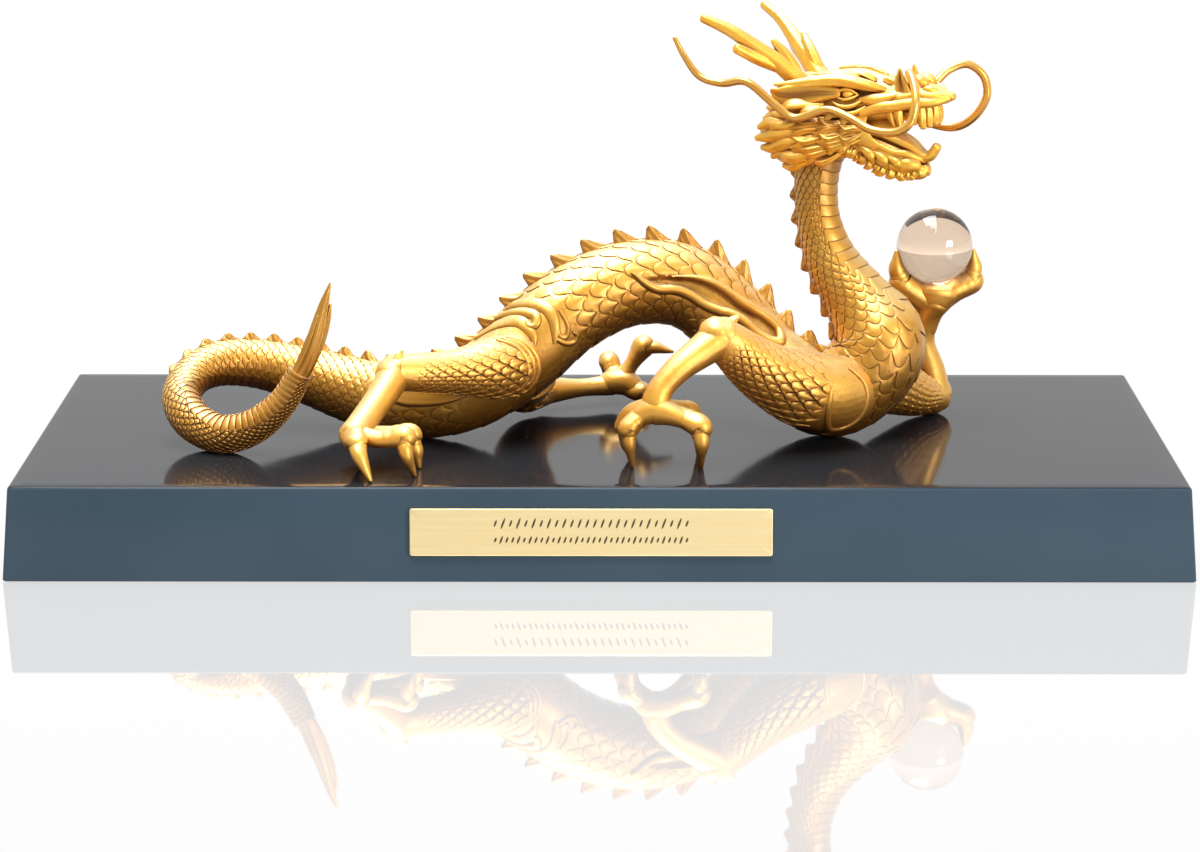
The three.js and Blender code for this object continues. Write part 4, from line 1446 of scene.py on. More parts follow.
LIMBS: list[Limb] = [
    Limb(
        name=LimbName.NEAR_HIND,
        thigh=[
            [-15, -11, 46.6, 4.6, 5], [-19.4, -18, 45.8, 7.2, 7.9], [-28, -25.4, 45.4, 7.4, 7.8],
            [-39, -32.4, 45.6, 5.2, 5.4], [-52.7, -38.5, 46.4, 4.6, 4.8],
        ],
        shin=[[-52.2, -37.5, 46.8, 4.5], [-57.6, -48, 39.2, 3.7], [-62.4, -57.5, 33.6, 4.0]],
        toes=[
            [
                [-62.4, -57.5, 33.8, 3.4], [-61.3, -62.6, 33.2, 2.8], [-60.4, -65.8, 30.6, 2.1],
                [-57.6, -68, 24.4, 0.6],
            ],
            [
                [-62, -57, 34, 2.8], [-56, -60, 33.4, 2.3], [-49.6, -61, 34.2, 2.9],
                [-48.8, -62.8, 30.4, 1.9], [-46.8, -61.6, 24.4, 0.6],
            ],
            [
                [-61.5, -56, 33.6, 2.8], [-54, -53, 33, 2.3], [-48.4, -51, 32.8, 2.7],
                [-46.8, -51.4, 28.8, 1.9], [-46, -52, 24.4, 0.6],
            ],
            [
                [-62, -56, 33.4, 3.0], [-62.6, -52.6, 31.4, 2.9], [-62, -50.4, 28.4, 2.0],
                [-61, -49.6, 24.4, 0.6],
            ],
        ],
        tuft=[
            [-52.6, -39, 46.6, 2.6, 2.4], [-52, -39.6, 49.4, 1.4, 1.8], [-50.6, -39.4, 52.2, 0.3, 0.35],
        ],
        smooth=(0.69, 1.0),
        rim=(
            (0.56, 72, 0.3), (0.59, 62, 0.6), (0.645, 45, 0.75), (0.68, 20, 0.8), (0.69, 0, 0.8),
            (0.69, -20, 0.75), (0.67, -38, 0.6), (0.64, -52, 0.3),
        ),
        rim_count=3,
        step=(2.2, 0.7, 0.77),
    ),
    Limb(
        name=LimbName.NEAR_FORE,
        thigh=[
            [73, -8, 41, 5, 5], [68, -15, 38.8, 7.4, 8], [57.6, -25.6, 38.8, 10, 10.2],
            [43.2, -34.6, 45.8, 7.8, 7.8], [31.3, -40, 56, 5.2, 5.2],
        ],
        shin=[
            [31.6, -39.8, 56.2, 5.2], [27, -42.4, 53.6, 4.4], [20.6, -45.8, 49.4, 3.6],
            [16.2, -48, 44.8, 3.3], [14.5, -49, 41.2, 3.6], [14.2, -49.2, 39, 3.6],
        ],
        toes=[
            [
                [13.6, -49.2, 38.6, 3.2], [10.2, -50, 37, 2.6], [7.4, -51, 34.4, 2.6],
                [7.6, -51.6, 30.6, 1.75], [8.3, -50.6, 24.4, 0.6],
            ],
            [
                [14.6, -49.4, 38.6, 3.2], [20.2, -50.4, 37.4, 2.7], [25.4, -52, 35.2, 3.0],
                [26, -53.2, 31.2, 2.1], [25.8, -50.6, 24.4, 0.75],
            ],
            [
                [14.2, -47.8, 38.8, 2.8], [19, -42.4, 37.8, 2.2], [23.2, -37, 36, 2.5],
                [25.2, -34.8, 30.8, 1.8], [25.6, -34.2, 24.4, 0.6],
            ],
            [
                [13.4, -48, 39, 3.0], [8.6, -43, 36.4, 2.8], [6.8, -41, 33, 2.9], [7, -40.2, 28.6, 2.0],
                [7.8, -40, 24.4, 0.4],
            ],
        ],
        tuft=[[32, -39.6, 57, 2.6, 2.4], [33.4, -39.6, 59.4, 1.4, 1.7], [35.4, -39.2, 61.4, 0.3, 0.35]],
        smooth=(0.44, 1.0),
        cuff=(0.02, 0.08),
        palm=(
            [8.6, -49.8, 35.8, 2.2, 2.0], [11.2, -49.6, 37.8, 3.2, 3.0], [14, -49.4, 38.8, 3.7, 3.9],
            [17.6, -50, 38.2, 3.4, 3.2], [21, -50.8, 37, 2.8, 2.5], [24, -51.6, 35.8, 2.2, 2.0],
        ),
        rim=(
            (0.43, 26, 0.3), (0.437, 8, 0.8), (0.45, -12, 0.9), (0.475, -34, 0.9), (0.515, -54, 0.9),
            (0.56, -58, 0.9), (0.6, -40, 0.8), (0.615, -10, 0.8), (0.605, 18, 0.7), (0.57, 38, 0.6),
            (0.53, 52, 0.3),
        ),
        scaling=Scaling(
            columns=((0.0, 17), (1.0, 17)),
            pitch=((0.0, 0.24), (0.14, 0.27), (0.4, 0.33), (1.0, 0.36)),
            lift=((0.0, 0.06), (0.3, 0.08), (1.0, 0.08)),
            reach=((0.0, 1.1), (1.0, 1.1)),
            around=136,
        ),
    ),
    Limb(
        name=LimbName.FAR_FORE,
        thigh=[
            [70, -6, 39, 9, 9], [77, 4, 35, 8, 8], [84.4, 13, 30.6, 6.2, 6.0],
            [90.2, 19.4, 28.6, 4.6, 4.4],
        ],
        shin=[
            [90.6, 19.6, 28.6, 4.4], [89.2, 19.6, 35, 4.2], [87, 18, 43.6, 3.3], [87.8, 17, 51, 3.7],
            [89.5, 16, 55.6, 4.8],
        ],
        toes=[
            [
                [88.4, 15.6, 55.4, 3.8], [84.4, 14.6, 58, 3.6], [80.8, 13.4, 60.8, 3.3],
                [79.4, 13, 64.6, 2.4], [79.2, 13, 69.4, 0.6],
            ],
            [
                [90.6, 16, 55.6, 3.8], [95, 16.6, 58.4, 3.5], [99.6, 17.8, 60.4, 3.2],
                [100.5, 18.2, 64.2, 2.3], [100.2, 18, 69, 0.6],
            ],
            [
                [89.6, 17.4, 55, 3.4], [89.8, 22, 55.2, 2.9], [90, 25.6, 55.6, 2.6],
                [90, 28.2, 57.2, 1.8], [90, 30, 59.6, 0.4],
            ],
        ],
        tuft=[[90.8, 20.6, 29.2, 2.6, 2.4], [91.6, 23, 30.2, 1.4, 1.6], [92, 25.4, 31, 0.3, 0.35]],
        palm=(
            [87.6, 17.2, 47, 2.6, 2.8], [88.2, 16.6, 52, 3.6, 4.0], [89, 16, 55.6, 4.6, 5.8],
            [89.5, 16, 58, 5.0, 7.2], [89.6, 16, 59.2, 4.8, 6.6],
        ),
    ),
    Limb(
        name=LimbName.FAR_HIND,
        thigh=[
            [-20, -8, 42, 9, 9], [-22, 4, 36.6, 7.6, 7.8], [-20.6, 13, 31.6, 6.2, 6.2],
            [-15.6, 21.6, 29.8, 4.4, 4.4],
        ],
        shin=[
            [-16.4, 20.8, 29.8, 4.2], [-5.9, 27, 29.2, 2.5], [1.6, 30, 29.6, 2.9], [5.4, 30, 30.6, 3.7],
            [8, 29.6, 30.2, 2.6],
        ],
        toes=[
            [
                [4.4, 30.2, 31.2, 3.0], [3.4, 32.6, 32.8, 2.4], [2.2, 34.4, 35.2, 2.7],
                [1.4, 38.8, 33.8, 1.8], [1.2, 42, 29.6, 0.6],
            ],
            [
                [5.6, 30, 31, 3.0], [8.3, 30, 35.2, 2.0], [11.4, 30, 40, 3.0], [14.8, 30, 40, 1.8],
                [19.7, 30, 38.8, 0.4],
            ],
            [
                [5.6, 30, 30.6, 3.0], [8.5, 29, 28.6, 2.8], [11, 27.6, 28, 2.8], [13.6, 26.4, 26.6, 2.0],
                [15.6, 25.6, 24.6, 0.4],
            ],
        ],
        tuft=[[-16.4, 21.6, 30.4, 2.4, 2.2], [-17.6, 24.2, 32, 1.3, 1.5], [-19, 26.6, 34, 0.3, 0.35]],
        palm=([0.6, 30, 29.6, 2.7], [3.4, 30, 30.4, 3.5], [6.4, 29.8, 30.4, 3.7], [9.4, 29, 28.8, 3.0]),
    ),
]


class Carving(Enum):
    """How a small piece of the head is carved: plain, fluted along its length, or dished on one face."""

    PLAIN = "plain"
    FLUTED = "fluted"
    DISHED = "dished"

    def relief(self, t: Grid, turn: Grid) -> Grid:
        """The carving's form: flutes are a cosine that fades to the tip, and a dish is a bell pressed in.

        Args:
            t: Shares along the piece.
            turn: Angles round it.

        Returns:
            Millimetres to push out.
        """
        if self is Carving.FLUTED:
            return 0.12 * np.cos(6 * turn + 4 * t) * (1 - ease(0.75, 1.0, t))
        return (0.14 * np.cos(15 * turn) - 1.0) * self.hollow(t, turn)

    def hollow(self, t: Grid, turn: Grid) -> Grid:
        """How deep a dish is: a bell round the near side that fades at both ends.

        Args:
            t: Shares along the piece.
            turn: Angles round it.

        Returns:
            From 0 to 1.
        """
        if self is not Carving.DISHED:
            return np.zeros_like(t)
        away = (np.degrees(turn) + 180) % 360 - 180
        return np.exp(-((away / 50) ** 2)) * np.sin(math.pi * np.clip(0.12 + 0.85 * t, 0, 1))


LEVEL: Place = (0.0, 1.0, 0.0)
FORWARD: Place = (1.0, 0.0, 0.0)


@dataclass(frozen=True)
class Feature:
    """A small piece of the face on the near side: its stations, the way its width lies, and its carving."""

    stations: list[Station]
    side: Place = LEVEL
    carving: Carving = Carving.PLAIN

    def shell(self) -> Shell:
        """The piece as a closed shell, with painted shade where it is dished."""
        return tube(Strand(self.stations, self.side), 28, 26, self.carving.relief, dark=self.carving.hollow)


FEATURES: dict[str, Feature] = {
    "brow": Feature([
        [17.4, -4.4, 5.2, 0.8], [13, -6.6, 7, 1.5], [7, -8.4, 8.8, 1.8], [0.5, -10, 9.1, 1.6],
        [-4, -11.2, 9, 1.2], [-10.2, -12.8, 9.3, 0.4],
    ], carving=Carving.FLUTED),
    "brow_lock": Feature([
        [10, -5.6, 9.2, 1.2], [5, -7, 10.3, 1.1], [-1, -8.2, 10.8, 0.4],
    ], carving=Carving.FLUTED),
    "crown_lock": Feature([
        [14, -3.6, 8, 1.0], [10, -4.4, 9.9, 1.1], [5, -5, 11, 0.4],
    ], carving=Carving.FLUTED),
    "ear": Feature([
        [5.6, -8.6, 5.8, 1.2, 1.5], [0, -10.6, 6.2, 1.4, 2.7], [-5, -12, 6, 1.3, 3.1],
        [-8.8, -13, 6.6, 1, 2.2], [-11, -13.6, 8, 0.35, 0.6],
    ], carving=Carving.DISHED),
    "eyeball": Feature([[6.6, -7.1, 5.1, 1.0], [7.8, -7.4, 5.2, 1.6], [9, -7.1, 5.1, 1.0]]),
    "upper_lid": Feature([
        [4.8, -8.6, 4.9, 0.3], [6.4, -8.8, 6.3, 0.5], [8.8, -8.4, 6.3, 0.5], [10.6, -7.3, 4.8, 0.3],
    ]),
    "lower_lid": Feature([
        [4.8, -8.6, 4.8, 0.3], [7, -8.9, 3.9, 0.4], [9, -8.5, 4, 0.4], [10.6, -7.3, 4.7, 0.3],
    ]),
    "eye_fold": Feature([
        [4.2, -9.2, 3.4, 0.3], [6.2, -9.3, 2.2, 0.6], [9, -8.8, 2, 0.6], [11.8, -7.6, 3.2, 0.3],
    ]),
    "cheek_fold": Feature([
        [3.2, -9.4, 1.8, 0.3], [6, -9.4, 0.4, 0.7], [9.8, -8.7, 0.2, 0.7], [12.6, -7.6, 1.6, 0.3],
    ]),
    "muzzle": Feature([
        [11, -7.2, 3.4, 0.7], [14.2, -6.8, 3, 1.7], [17.6, -6.2, 3.2, 1.4], [20.4, -5.5, 3.8, 0.6],
    ]),
    "lip": Feature([
        [11.4, -7.7, -0.2, 1.2], [16, -7.1, 1, 1.6], [20.4, -6.7, 1.1, 1.5], [25, -6, 1.5, 1.4],
        [29.6, -3.8, 1.2, 1.3], [33.2, -1.2, 1.8, 0.9],
    ]),
    "nostril_wing": Feature([
        [22, -4.2, 4.2, 1.1, 2.2], [21.7, -4.6, 7.2, 0.9, 1.7], [21.9, -4.6, 10.5, 0.3, 0.35],
    ], carving=Carving.DISHED),
    "nose_bulb": Feature([[23.4, -2.3, 5.4, 1.4], [25.6, -2.4, 6.5, 2.1], [27.4, -2.1, 6, 1.6]]),
    "nose_fold": Feature([[27, -3.4, 4.2, 0.9], [29, -3.2, 4.4, 1.2], [31, -2, 3.6, 0.7]]),
    "bridge_fold": Feature([
        [16.4, -2.4, 7.5, 0.8], [18.4, -3, 7.2, 1.2], [20.4, -3, 6.4, 0.6],
    ], carving=Carving.FLUTED),
    "fang": Feature([
        [20.6, -5.6, 1, 1.3], [21, -5.8, -2, 1.1], [21.4, -5.6, -5.6, 0.4],
    ], FORWARD, Carving.FLUTED),
    "rear_fang": Feature([
        [18.6, -5.9, 1, 1.1], [18.9, -6, -1.6, 0.9], [19.3, -5.8, -4, 0.35],
    ], FORWARD, Carving.FLUTED),
    "side_tooth": Feature([
        [24.6, -4.8, 0.8, 1.2], [24.8, -4.9, -2, 1.1], [24.9, -4.8, -4, 0.5],
    ], FORWARD, Carving.FLUTED),
    "front_tooth": Feature([
        [26.4, -4.1, 0.6, 1.3], [26.7, -4.2, -2.6, 1.25], [26.7, -4.1, -5.0, 0.9],
    ], FORWARD, Carving.FLUTED),
    "next_tooth": Feature([
        [27.7, -2.8, 0.6, 1.3], [28, -2.9, -2.4, 1.25], [27.9, -2.8, -4.8, 0.9],
    ], FORWARD, Carving.FLUTED),
    "middle_tooth": Feature([
        [28.8, -1.1, 0.6, 1.3], [29, -1.1, -2.2, 1.25], [28.8, -1.1, -4.5, 0.9],
    ], FORWARD, Carving.FLUTED),
    "cheek_web": Feature([
        [11.4, -7.4, 0.6, 2, 0.9], [9.8, -7.9, -3, 2.6, 0.9], [10.6, -7.2, -6.8, 2.8, 0.9],
        [13.4, -5.9, -9.6, 2.2, 0.8],
    ], FORWARD),
    "jaw_lip": Feature([
        [9.6, -6.7, -6.2, 0.7], [14, -5.8, -8.6, 0.9], [18, -5, -10.8, 0.9], [21, -4.2, -11.6, 1],
        [23.2, -2.4, -13, 0.9], [24.4, -0.6, -14, 0.8],
    ]),
    "gum": Feature([
        [8, -6.2, -7.2, 1, 2.4], [13, -5.4, -9.8, 1, 2.6], [18, -4.5, -12.2, 1, 2.4],
        [22, -2.8, -13.8, 0.9, 1.8],
    ], carving=Carving.FLUTED),
    "rear_jaw_fold": Feature([
        [9.4, -6.9, -8.6, 0.5], [12, -6.7, -10.8, 1.3], [12.6, -6, -13.2, 0.5],
    ], FORWARD),
    "jaw_fold": Feature([
        [13, -6.2, -10.4, 0.5], [15.4, -5.9, -12.4, 1.3], [15.8, -5.1, -14.8, 0.5],
    ], FORWARD),
    "fore_jaw_fold": Feature([
        [16.8, -5.5, -12.2, 0.5], [18.8, -5.2, -13.6, 1.2], [18.8, -4.4, -15.8, 0.5],
    ], FORWARD),
    "chin_lobe": Feature([[17.6, -3.6, -14.2, 1.6], [20.6, -3.5, -14.4, 2.1], [23, -2.4, -15, 1.7]]),
    "horn": Feature([
        [-4.6, -5.2, 7, 2.8], [-10.2, -8.2, 14, 2.5], [-14.4, -11, 18.4, 2.1], [-20.2, -15, 24.2, 1.65],
        [-26.2, -18, 28.2, 1.25],
    ], FORWARD, Carving.FLUTED),
    "rear_tine": Feature([
        [-11, -8.8, 14, 1.9], [-15.2, -12.6, 16.8, 1.7], [-18.4, -16.2, 19.6, 1.4],
    ], FORWARD, Carving.FLUTED),
    "fore_tine": Feature([
        [-6, -6, 9, 2], [-8.6, -7.2, 15.6, 1.6], [-11.2, -9, 20.4, 0.8],
    ], FORWARD, Carving.FLUTED),
}


def lock_grooves(t: Grid, turn: Grid) -> Grid:
    """Grooves along a lock: a cosine round its section that fades at both ends."""
    return 0.17 * np.cos(5 * turn) * np.sin(math.pi * np.clip(0.15 + 0.85 * t, 0, 1))


@dataclass(frozen=True)
class LockLayer:
    """A layer of the mane's locks on the near side.

    Roots and tips run smoothly through a few places, and count locks join them. size is a lock's half-
    width and blunt that of its tip.
    """

    count: int
    roots: tuple[Place, ...]
    tips: tuple[Place, ...]
    size: float
    blunt: float
    sway_step: float = 2.4

    def locks(self) -> list[Shell]:
        """The layer's locks: each bows out between its root and its tip, and sways up or down with a wave.

        Returns:
            One shell for each lock.
        """
        share = np.linspace(0, 1, self.count)
        starts = smooth_through(np.array(self.roots, float), share)
        ends = smooth_through(np.array(self.tips, float), share)
        sway = np.cos(np.arange(self.count) * self.sway_step)
        shells = []
        for start, end, bend in zip(starts, ends, sway):
            bow = 0.45 * start + 0.55 * end + np.array([0.0, -1.0, bend])
            late = 0.2 * start + 0.8 * end + np.array([0.0, -0.5, -0.6 * bend])
            stations = [
                [*start, 0.6 * self.size, 0.5 * self.size],
                [*bow, self.size, 0.9 * self.size],
                [*late, 0.75 * self.size, 0.7 * self.size],
                [*end, self.blunt, self.blunt],
            ]
            shells.append(tube(Strand(stations), 22, 24, lock_grooves))
        return shells


# Three layers behind the cheek, a short one before them, and two over the nape
MANE: tuple[LockLayer, ...] = (
    LockLayer(
        count=6,
        roots=((1, -9, 3), (0, -9.8, -0.5), (0, -9.8, -4), (1, -9, -7.5), (2.5, -6.6, -10.2)),
        tips=(
            (-11.6, -12.5, 1.6), (-16.6, -12.8, -2.2), (-16.8, -12.2, -5.6), (-14.4, -11.2, -8.8),
            (-11.4, -9.6, -12.2),
        ),
        size=2.3,
        blunt=0.8,
    ),
    LockLayer(
        count=10,
        roots=((5, -8.9, 1), (5, -9.5, -2), (5, -9.2, -5), (5, -8.4, -7.6), (4.6, -6.8, -9.6)),
        tips=((-6, -12.8, 1.2), (-9, -13.4, -2.6), (-9, -13, -6), (-7, -11.8, -9.4), (-4, -9.6, -11.8)),
        size=1.35,
        blunt=0.3,
    ),
    LockLayer(
        count=9,
        roots=((9.4, -8.4, -0.6), (9.4, -8.4, -3), (9, -8.2, -5.4), (8, -7.6, -7.4)),
        tips=((1, -12, 0), (-1, -12.6, -3.4), (-0.6, -12, -6.4), (1, -10.2, -9)),
        size=1.15,
        blunt=0.25,
    ),
    LockLayer(
        count=7,
        roots=((11.6, -7.8, -2.4), (11.4, -7.8, -4.4), (10.8, -7.4, -6.4)),
        tips=((5.4, -10.6, -1.6), (4.6, -10.8, -4.6), (5, -9.8, -7.4)),
        size=0.95,
        blunt=0.2,
    ),
    LockLayer(
        count=4,
        roots=((-2, -1, 8.4), (-4, -4.5, 7), (-5, -7, 4)),
        tips=((-13, -1.5, 7.6), (-14.5, -6, 6), (-14.5, -9.5, 3.2)),
        size=2.0,
        blunt=0.6,
    ),
    LockLayer(
        count=6,
        roots=((-3, -1.6, 7.4), (-5, -4, 4), (-6, -5, -1), (-5, -5, -6)),
        tips=((-15, -2, 5.4), (-17, -6, 1), (-18, -7, -4), (-14, -7, -10.4)),
        size=2.2,
        blunt=0.7,
    ),
)


def bell(t: Grid, turn: Grid, place: float, degrees: float, length: float, spread: float) -> Grid:
    """A bell on a strand's skin, which falls off with the squares of the distances along it and round it.

    Args:
        t: Shares along the strand.
        turn: Angles round it.
        place: The bell's share.
        degrees: The bell's angle.
        length: Its reach along the strand, as a share.
        spread: Its reach round the strand, in degrees.

    Returns:
        From 0 to 1.
    """
    away = (np.degrees(turn) - degrees + 180) % 360 - 180
    return np.exp(-(((t - place) / length) ** 2) - (away / spread) ** 2)


def twin_bells(t: Grid, turn: Grid, place: float, degrees: float, length: float, spread: float) -> Grid:
    """A bell on the near side and its twin on the far side."""
    near = bell(t, turn, place, degrees, length, spread)
    return near + bell(t, turn, place, 180 - degrees, length, spread)


@dataclass
class Head:
    """The dragon's head in its own frame (x forward, y to the far side, z up), set on the neck."""

    centre: Place = (61.2, -8.0, 109.8)
    yaw: float = 28.0
    pitch: float = 7.0
    skull: tuple[Station, ...] = (
        [-12, 0, -3, 6, 7], [-6, 0, 1, 8.4, 8.6], [2, 0, 2.4, 8.8, 8.2], [9, 0, 3.4, 7.8, 7.0],
        [15, 0, 3.4, 6.2, 4.9], [21, 0, 3.2, 5.6, 4.0], [26.4, 0, 3.0, 5.6, 3.2],
        [30.4, 0, 2.4, 4.4, 2.3], [34, 0, 2.0, 1.6, 1.0],
    )
    jaw: tuple[Station, ...] = (
        [0, 0, -5.6, 7.4, 4.4], [8, 0, -9.2, 6.6, 3.6], [14, 0, -12.8, 5.6, 3.4],
        [19.6, 0, -15.2, 4.6, 3.0], [23.8, 0, -16, 2.9, 2.0],
    )
    tongue: tuple[Station, ...] = (
        [8, 0, -4.6, 4.4, 2.2], [14, 0, -6.4, 4.2, 2.2], [20, 0, -9.2, 3.6, 2.0],
        [23.8, 0, -12.4, 2.4, 1.5], [26, 0, -12.9, 1.9, 1.4], [28.2, 0, -10.6, 1.5, 1.2],
    )
    collar: tuple[Station, ...] = (
        [8, 0, -5, 6.4, 5], [2, 0, -4.6, 9, 7.4], [-5, 0, -4.4, 10.4, 7.6], [-11, 0, -4.6, 9.6, 5.4],
        [-15, 0, -5, 6, 2.4],
    )
    palate: tuple[Station, ...] = (
        [2, 0, -1.4, 6.2, 3.6], [10, 0, -1, 6, 2.6], [18, 0, -0.6, 5, 2.4], [24, 0, -1.4, 4.2, 2.7],
        [27, 0, -1.4, 3, 2.4],
    )
    throat: tuple[Station, ...] = (
        [4, 0, -4.6, 5.6, 5], [11, 0, -4.6, 5.2, 4.8], [15.5, 0, -5.2, 4.6, 3.8], [18, 0, -6, 3.4, 2.4],
    )
    jaw_floor: tuple[Station, ...] = (
        [6, 0, -8.4, 5.2, 2.6], [14, 0, -10.8, 4.6, 2.6], [20, 0, -13.4, 3.6, 2.2],
    )
    chin: tuple[Station, ...] = (
        [19.6, 0, -16.6, 3.4, 1.8], [22.6, 0, -16.9, 3.0, 2.0], [24.6, 0, -16.2, 2.0, 1.4],
    )
    curl_line: tuple[Place, ...] = (
        (4.4, -7.6, -8.2), (8.4, -5.6, -11), (14.6, -3.9, -15.4), (20, -2.4, -17.2), (24.4, -0.8, -16.6),
    )
    curl_count: int = 25
    curl_size: float = 1.35

    def matrix(self) -> Grid:
        """The 4 by 4 matrix from the head's frame to the ornament's: nod, then turn, then move.

        Returns:
            The matrix.
        """
        a = math.radians(-self.yaw)
        b = math.radians(-self.pitch)
        turn = np.array([[math.cos(a), -math.sin(a), 0], [math.sin(a), math.cos(a), 0], [0, 0, 1]])
        nod = np.array([[math.cos(b), 0, math.sin(b)], [0, 1, 0], [-math.sin(b), 0, math.cos(b)]])
        result = np.eye(4)
        result[:3, :3] = turn @ nod
        result[:3, 3] = self.centre
        return result

    def skull_relief(self, t: Grid, turn: Grid) -> Grid:
        """The skull's form: bells for eye sockets, cheekbones and crest, and a short wave across the snout.

        Args:
            t: Shares along the skull.
            turn: Angles round it.

        Returns:
            Millimetres to push out.
        """
        sockets = -1.7 * twin_bells(t, turn, 0.42, 24, 0.075, 20)
        cheeks = 0.9 * twin_bells(t, turn, 0.52, -12, 0.12, 16)
        cheeks = cheeks - 0.9 * twin_bells(t, turn, 0.66, 30, 0.07, 16)
        wrinkles = 0.26 * np.cos(t * 150) * bell(t, turn, 0.64, 90, 0.1, 55)
        crest = 0.7 * bell(t, turn, 0.4, 90, 0.2, 14)
        return sockets + cheeks + wrinkles + crest

    def jaw_relief(self, t: Grid, turn: Grid) -> Grid:
        """The jaw's form: a trough along its top, and uneven folds from two crossed waves.

        Args:
            t: Shares along the jaw.
            turn: Angles round it.

        Returns:
            Millimetres to push out.
        """
        trough = -1.6 * np.exp(-(((np.degrees(turn) - 90) / 36) ** 2)) * ease(0.2, 0.5, t)
        folds = 0.42 * np.cos(30 * t + 3 * turn) * np.cos(5 * turn)
        return trough + folds * np.sin(math.pi * np.clip(t, 0.05, 0.95))

    def tongue_relief(self, t: Grid, turn: Grid) -> Grid:
        """A groove along the tongue's top that ends before its tip."""
        return -0.45 * np.exp(-(((np.degrees(turn) - 90) / 14) ** 2)) * (1 - ease(0.8, 1.0, t))

    def collar_relief(self, t: Grid, turn: Grid) -> Grid:
        """Fine strands along the mane's collar, a wavering cosine that fades at both ends."""
        return 0.4 * np.cos(17 * turn + 3 * np.sin(5 * t)) * np.sin(math.pi * np.clip(t, 0, 1))

    def bones(self) -> list[Shell]:
        """The skull with its snout, and the lower jaw."""
        skull = tube(Strand(self.skull), 90, 96, self.skull_relief)
        return [skull, tube(Strand(self.jaw), 40, 64, self.jaw_relief)]

    def features(self) -> list[Shell]:
        """The paired pieces of the face: brows, ears, eyes and their folds, nose, lips, teeth and horns."""
        near = [feature.shell() for feature in FEATURES.values()]
        return near + [s.mirrored() for s in near]

    def middle(self) -> list[Shell]:
        """Pieces on the head's middle plane: tongue, the mane's collar, palate, throat, jaw floor and chin.

        Returns:
            One shell for each.
        """
        return [
            tube(Strand(self.tongue), 40, 32, self.tongue_relief),
            tube(Strand(self.collar), 60, 136, self.collar_relief),
            tube(Strand(self.palate), 20, 32),
            tube(Strand(self.throat), 24, 32, None, 0.5),
            tube(Strand(self.jaw_floor), 20, 32),
            tube(Strand(self.chin), 16, 24),
        ]

    def curls(self) -> list[Shell]:
        """Curls under the near side of the jaw, whose sizes and ways follow slow waves.

        Returns:
            One shell for each curl.
        """
        roots = smooth_through(np.array(self.curl_line), np.linspace(0, 1, self.curl_count))
        shells = []
        for k, place in enumerate(roots):
            size = self.curl_size + 0.25 * math.cos(k * 2.7)
            root = place + np.array([0.0, 0.3, 0.7])
            tip = root + np.array([-1.9 + 0.9 * math.cos(k * 1.9), -0.9, -1.5 - 0.5 * math.sin(k * 2.3)])
            middle = 0.5 * (root + tip) + np.array([0.5, -0.4, -0.4])
            stations = [[*root, size, 0.9 * size], [*middle, 0.85 * size, 0.7 * size], [*tip, 0.3]]
            shells.append(tube(Strand(stations), 14, 20, lock_grooves))
        return shells

    def mane(self) -> list[Shell]:
        """The mane on both sides: its layers of locks, and the curls under the jaw."""
        near = [lock for layer in MANE for lock in layer.locks()] + self.curls()
        return near + [s.mirrored() for s in near]

    def build(self, gilt: Material) -> None:
        """Makes the head's pieces.

        Args:
            gilt: Their finish.
        """
        matrix = self.matrix()
        pieces = {
            "dragon_skull": self.bones(),
            "dragon_face": self.features() + self.middle(),
            "dragon_mane": self.mane(),
        }
        for name, shells in pieces.items():
            make_piece(name, [s.moved(matrix) for s in shells], gilt, Shading.CAST)


@dataclass
class Whiskers:
    """The two whiskers of bent wire, in the head's frame."""

    near: tuple[Station, ...] = (
        (26.4, -2.8, 4, 1.15), (25, -5.6, 9.2, 1.15), (27, -8.2, 7, 1.1), (28.5, -11, 2.7, 1.1),
        (27.4, -13, -2.6, 1.1), (23.4, -14, -4.9, 1.1), (16.7, -14, -4, 1.1), (10.8, -14, -0.5, 1.1),
        (4.4, -14, 2, 1.1), (-4.3, -15, 0.5, 1.1), (-9.2, -16.4, 4.6, 1.1), (-15.6, -18, 10.9, 1.1),
        (-22.3, -19, 11.1, 1.05), (-28, -20, 13.4, 1), (-31.2, -21, 18.7, 0.85), (-33.1, -22, 23.9, 0.6),
    )
    far: tuple[Station, ...] = (
        (25.6, 3, 3.6, 1.15), (27.5, 5, 5.8, 1.15), (30.2, 8, 8.5, 1.15), (34.1, 11, 9.2, 1.1),
        (37.3, 13, 5.7, 1.1), (37.2, 14, 0.3, 1.1), (33.3, 14, -4.7, 1.1), (27.4, 14, -7.2, 1.1),
        (20, 14, -5.6, 1.1), (11, 14.2, -0.8, 1.1), (3, 14.6, 1.4, 1), (-5, 15.4, 1.2, 0.6),
    )
    side: Place = (0.2, 1.0, 0.1)
    rows: int = 10
    columns: int = 18

    def build(self, head: Head, gilt: Material) -> None:
        """Makes both wires, with a few rows for each station.

        Args:
            head: The head that they are set in.
            gilt: Their finish.
        """
        matrix = head.matrix()
        for name, stations in (("near_whisker", self.near), ("far_whisker", self.far)):
            wire = tube(Strand(stations, self.side), self.rows * len(stations), self.columns)
            piece = make_piece(f"{name}_wire", [wire.moved(matrix)], gilt, Shading.SMOOTH)
            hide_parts(name)


